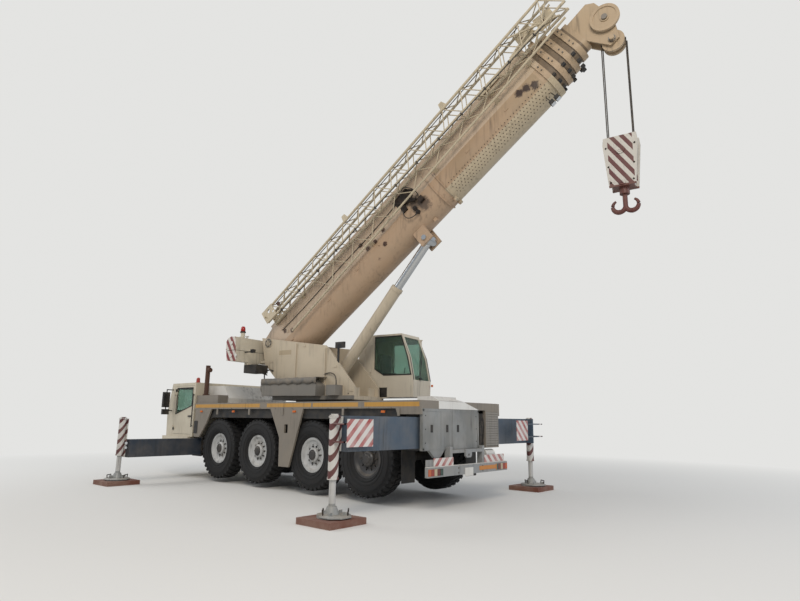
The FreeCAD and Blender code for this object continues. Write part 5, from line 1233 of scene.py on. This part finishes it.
    # Cab: seals, wipers, grille, grab rails and door handles
    bm = bmesh.new()
    front = [(6.363, 1.17, 1.80), (6.186, 1.10, 2.42), (6.186, -1.10, 2.42), (6.363, -1.17, 1.80)]
    for a, b in zip(front, front[1:] + front[:1]):
        add_rod(bm, a, b, 0.014, 8)
    dress("cab_windscreen_seal", bm, DECK, "seal_rubber", "carrier")
    bm = bmesh.new()
    for y, lean in ((0.55, -0.5), (-0.35, -0.5)):
        add_rod(bm, (6.385, y, 1.78), (6.30, y + lean, 2.12), 0.008, 8)
        add_rod(bm, (6.345, y + lean * 0.35, 1.95), (6.262, y + lean * 1.4, 2.27), 0.006, 6)
    for k in range(5):
        z = 1.22 + 0.07 * k
        add_box(bm, (6.340, -0.85, z), (6.352, 0.85, z + 0.035), bevel=0.004)
    add_box(bm, (4.55, 1.376, 1.19), (4.73, 1.382, 1.52), bevel=0.002)
    dress("cab_wipers_and_grille", bm, DECK, "black_plastic", "carrier")
    bm = bmesh.new()
    for side in (-1, 1):
        y = side * 1.312
        add_rod(bm, (4.955, y + side * 0.03, 1.35), (4.955, y + side * 0.03, 2.25), 0.013, 10)
        for z in (1.38, 2.22):
            add_rod(bm, (4.955, y - side * 0.01, z), (4.955, y + side * 0.03, z), 0.011, 8)
    dress("cab_rails", bm, DECK, "black_plastic", "carrier")
    for side, sign in SIDES:
        bm = bmesh.new()
        ring = [(5.055, 1.93), (5.90, 1.70), (5.90, 2.42), (5.055, 2.42)]
        add_ring(bm, [(x, sign * 1.303, z) for x, z in ring], 0.026, 0.006, (0, sign, 0))
        dress("cab_door_seal_" + side, bm, DECK, "seal_rubber", "cab_door_" + side)
        bm = bmesh.new()
        low, high = sorted((sign * 1.30, sign * 1.325))
        add_box(bm, (5.06, low, 1.62), (5.20, high, 1.66), bevel=0.006)
        for z in (1.30, 2.36):
            add_box(bm, (5.93, low, z - 0.04), (5.975, high, z + 0.04), bevel=0.005)
        dress("cab_door_handle_" + side, bm, DECK, "black_plastic", "cab_door_" + side)


def outrigger_dressing():
    """Jack caps, float plates with handles, marker boards on their arms, and jack lamps."""
    for end, x_jack in (("front", 4.80), ("rear", -2.85)):
        for side, sign in SIDES:
            label = end + "_" + side
            bm = bmesh.new()
            top = 1.56 if end == "front" else 1.66
            for z in (top + 0.004, top + 0.022):
                add_rod(bm, (x_jack, sign * 3.257, z), (x_jack, sign * 3.257, z + 0.016), 0.092 - (z - top) * 1.2, 32)
            add_rod(bm, (x_jack, sign * 3.257, 0.672), (x_jack, sign * 3.257, 0.705), 0.094, 32)
            dress("jack_caps_" + label, bm, DECK, "outrigger_paint", "outrigger_" + label)
            bm = bmesh.new()
            middle = Vector((x_jack + (0.0 if end == "front" else -0.09), sign * 3.257, 0.0))
            reach = 0.30 if end == "front" else 0.27
            add_turned(bm, [(0.0, 0.150), (0.10, 0.150), (0.12, 0.156), (reach - 0.04, 0.158), (reach, 0.132),
                            (reach, 0.118), (0.0, 0.118), (0.0, 0.150)],
                       Matrix.Translation(middle) @ Matrix.Rotation(math.radians(22.5), 4, "Z"), 8)
            for turn in (0, 90, 180, 270):
                spin = Matrix.Translation(middle) @ Matrix.Rotation(math.radians(turn + 20), 4, "Z")
                add_box(bm, (0.13, -0.012, 0.15), (reach - 0.05, 0.012, 0.20), spin, 0.004)
            dress("float_plate_" + label, bm, DECK, "galvanised_steel", "jack_" + label)
            bm = bmesh.new()
            for turn in (45, 225):
                spin = Matrix.Translation(middle) @ Matrix.Rotation(math.radians(turn), 4, "Z")
                loop = [spin @ Vector(p) for p in ((0.19, -0.11, 0.15), (0.20, -0.11, 0.225), (0.20, 0.11, 0.225),
                    (0.19, 0.11, 0.15))]
                for a, b in zip(loop, loop[1:]):
                    add_rod(bm, a, b, 0.011, 10)
            dress("float_handles_" + label, bm, DECK, "dark_steel", "jack_" + label)
    # Rear boards on arms from the outer half of the jack housings
    for side, sign, inner, outer, low, high in (("left", 1, 2.675, 3.275, 1.18, 1.62),
        ("right", -1, 2.08, 2.59, 1.18, 1.63)):
        bm = bmesh.new()
        a, b = sorted((sign * inner, sign * outer))
        add_box(bm, (-3.168, a, low), (-3.158, b, high), bevel=0.002)
        dress("marker_board_" + side, bm, DECK, "board_left", "outrigger_rear_" + side)
        bm = bmesh.new()
        for z in (low + 0.08, high - 0.08):
            a, b = sorted((sign * (inner + 0.05), sign * 3.335))
            add_box(bm, (-3.158, a, z - 0.012), (-3.150, b, z + 0.012))
            a, b = sorted((sign * 3.295, sign * 3.335))
            add_box(bm, (-3.158, a, z - 0.012), (-2.90, b, z + 0.012))
        dress("marker_board_arms_" + side, bm, DECK, "outrigger_paint", "outrigger_rear_" + side)
    for side, sign in SIDES:
        bm = bmesh.new()
        for z in (0.97, 0.86):
            add_rod(bm, (4.71, sign * 3.17, z), (4.695, sign * 3.17, z), 0.032, 20)
        dress("jack_lamps_" + side, bm, DECK, "clear_lens", "outrigger_front_" + side)


def board_bands(tree, coords, shade):
    """Faded red bands on a white reflective sheet, mirrored on the right side."""
    side = node(tree, "ShaderNodeSeparateXYZ", {0: coords})
    slant = maths(tree, "ADD", maths(tree, "ABSOLUTE", side.outputs[1]), side.outputs[2])
    band = node(tree, "ShaderNodeMath", {0: maths(tree, "DIVIDE", slant, 0.21)}, operation="FRACT").outputs[0]
    faded = ramp(tree, noise(tree, coords, 160, 4), 0.35, 0.7, 0.55, 1.0)
    return blend(tree, maths(tree, "MULTIPLY", maths(tree, "GREATER_THAN", band, 0.52), faded), shade, srgb("#a13d3c"))


M["board_left"] = paint("reflective_board_sheet", "#d4cfca", [board_bands], dust=0.1, grime=0.3, rough=(0.3, 0.45))
boom_dressing()
collar_marks()
jib_dressing()
head_dressing()
hook_dressing()
top_dressing()
crane_cab_dressing()
seats()
lift_dressing()
carrier_dressing()
outrigger_dressing()


# Camera at the photograph's viewpoint, with a lens for the photograph's image of 800 x 601
FOCAL_PX = 572.97
WIDTH_PX = 800
EYE = Vector((-9.863 + SLEW.x - 1.05, 9.783, 1.624))
YAW, TILT, ROLL = (math.radians(a) for a in (-49.149, 11.717, 0.716))


def camera():
    """Camera whose lens, place and turn follow the photograph."""
    data = bpy.data.cameras.new("photo_camera")
    data.sensor_width = 36.0
    data.lens = FOCAL_PX / WIDTH_PX * data.sensor_width
    data.clip_end = 300
    thing = bpy.data.objects.new("photo_camera", data)
    bpy.context.collection.objects.link(thing)
    look = Vector((math.cos(TILT) * math.cos(YAW), math.cos(TILT) * math.sin(YAW), math.sin(TILT)))
    right = Vector((math.sin(YAW), -math.cos(YAW), 0))
    up = right.cross(look)
    turned = right * math.cos(ROLL) + up * math.sin(ROLL)
    raised = up * math.cos(ROLL) - right * math.sin(ROLL)
    thing.matrix_world = Matrix.Translation(EYE) @ Matrix((turned, raised, -look)).transposed().to_4x4()
    bpy.context.scene.camera = thing


def stage():
    """Pale floor, pale background and three soft lamps."""
    bpy.ops.mesh.primitive_plane_add(size=240, location=(0, 0, 0))
    floor = bpy.context.object
    floor.name = "floor"
    material, tree, shader, coords = blank("studio_floor")
    shader.inputs["Base Color"].default_value = srgb("#d9d7d2")
    shader.inputs["Roughness"].default_value = 0.9
    reach = node(tree, "ShaderNodeVectorMath", {0: coords}, operation="LENGTH").outputs["Value"]
    glow = node(tree, "ShaderNodeEmission", {"Color": srgb("#e9e9e7"), "Strength": 0.95})
    ray = node(tree, "ShaderNodeLightPath")
    seen = maths(tree, "MAXIMUM", ray.outputs["Is Camera Ray"], ray.outputs["Is Transmission Ray"])
    far = maths(tree, "MULTIPLY", seen, ramp(tree, reach, 6.5, 18))
    both = node(tree, "ShaderNodeMixShader", {0: far, 1: shader.outputs[0], 2: glow.outputs[0]})
    node(tree, "ShaderNodeOutputMaterial", {"Surface": both.outputs[0]}).is_active_output = True
    floor.data.materials.append(material)
    world = bpy.data.worlds.new("studio")
    bpy.context.scene.world = world
    world.use_nodes = True
    tree = world.node_tree
    tree.nodes.clear()
    path = node(tree, "ShaderNodeLightPath")
    seen = maths(tree, "MAXIMUM", path.outputs["Is Camera Ray"], path.outputs["Is Transmission Ray"])
    light = node(tree, "ShaderNodeBackground", {"Color": srgb("#e6ebf2"), "Strength": 0.62})
    back = node(tree, "ShaderNodeBackground", {"Color": srgb("#e9e9e7"), "Strength": 0.95})
    both = node(tree, "ShaderNodeMixShader", {0: seen, 1: light.outputs[0], 2: back.outputs[0]})
    node(tree, "ShaderNodeOutputWorld", {"Surface": both.outputs[0]})
    for name, spot, size, power, tone in (("key", (-14, 16, 17), 9, 2600, "#fff6ea"),
                                          ("fill", (-20, -6, 9), 10, 700, "#e8f0ff"),
                                          ("front", (14, 8, 12), 9, 900, "#ffffff")):
        data = bpy.data.lights.new(name, "AREA")
        data.size = size
        data.energy = power
        data.color = srgb(tone)[:3]
        lamp = bpy.data.objects.new(name, data)
        bpy.context.collection.objects.link(lamp)
        lamp.location = spot
        lamp.rotation_euler = (Vector((0, 0, 3)) - Vector(spot)).to_track_quat("-Z", "Y").to_euler()


camera()
stage()
bpy.context.scene.view_settings.view_transform = "Standard"
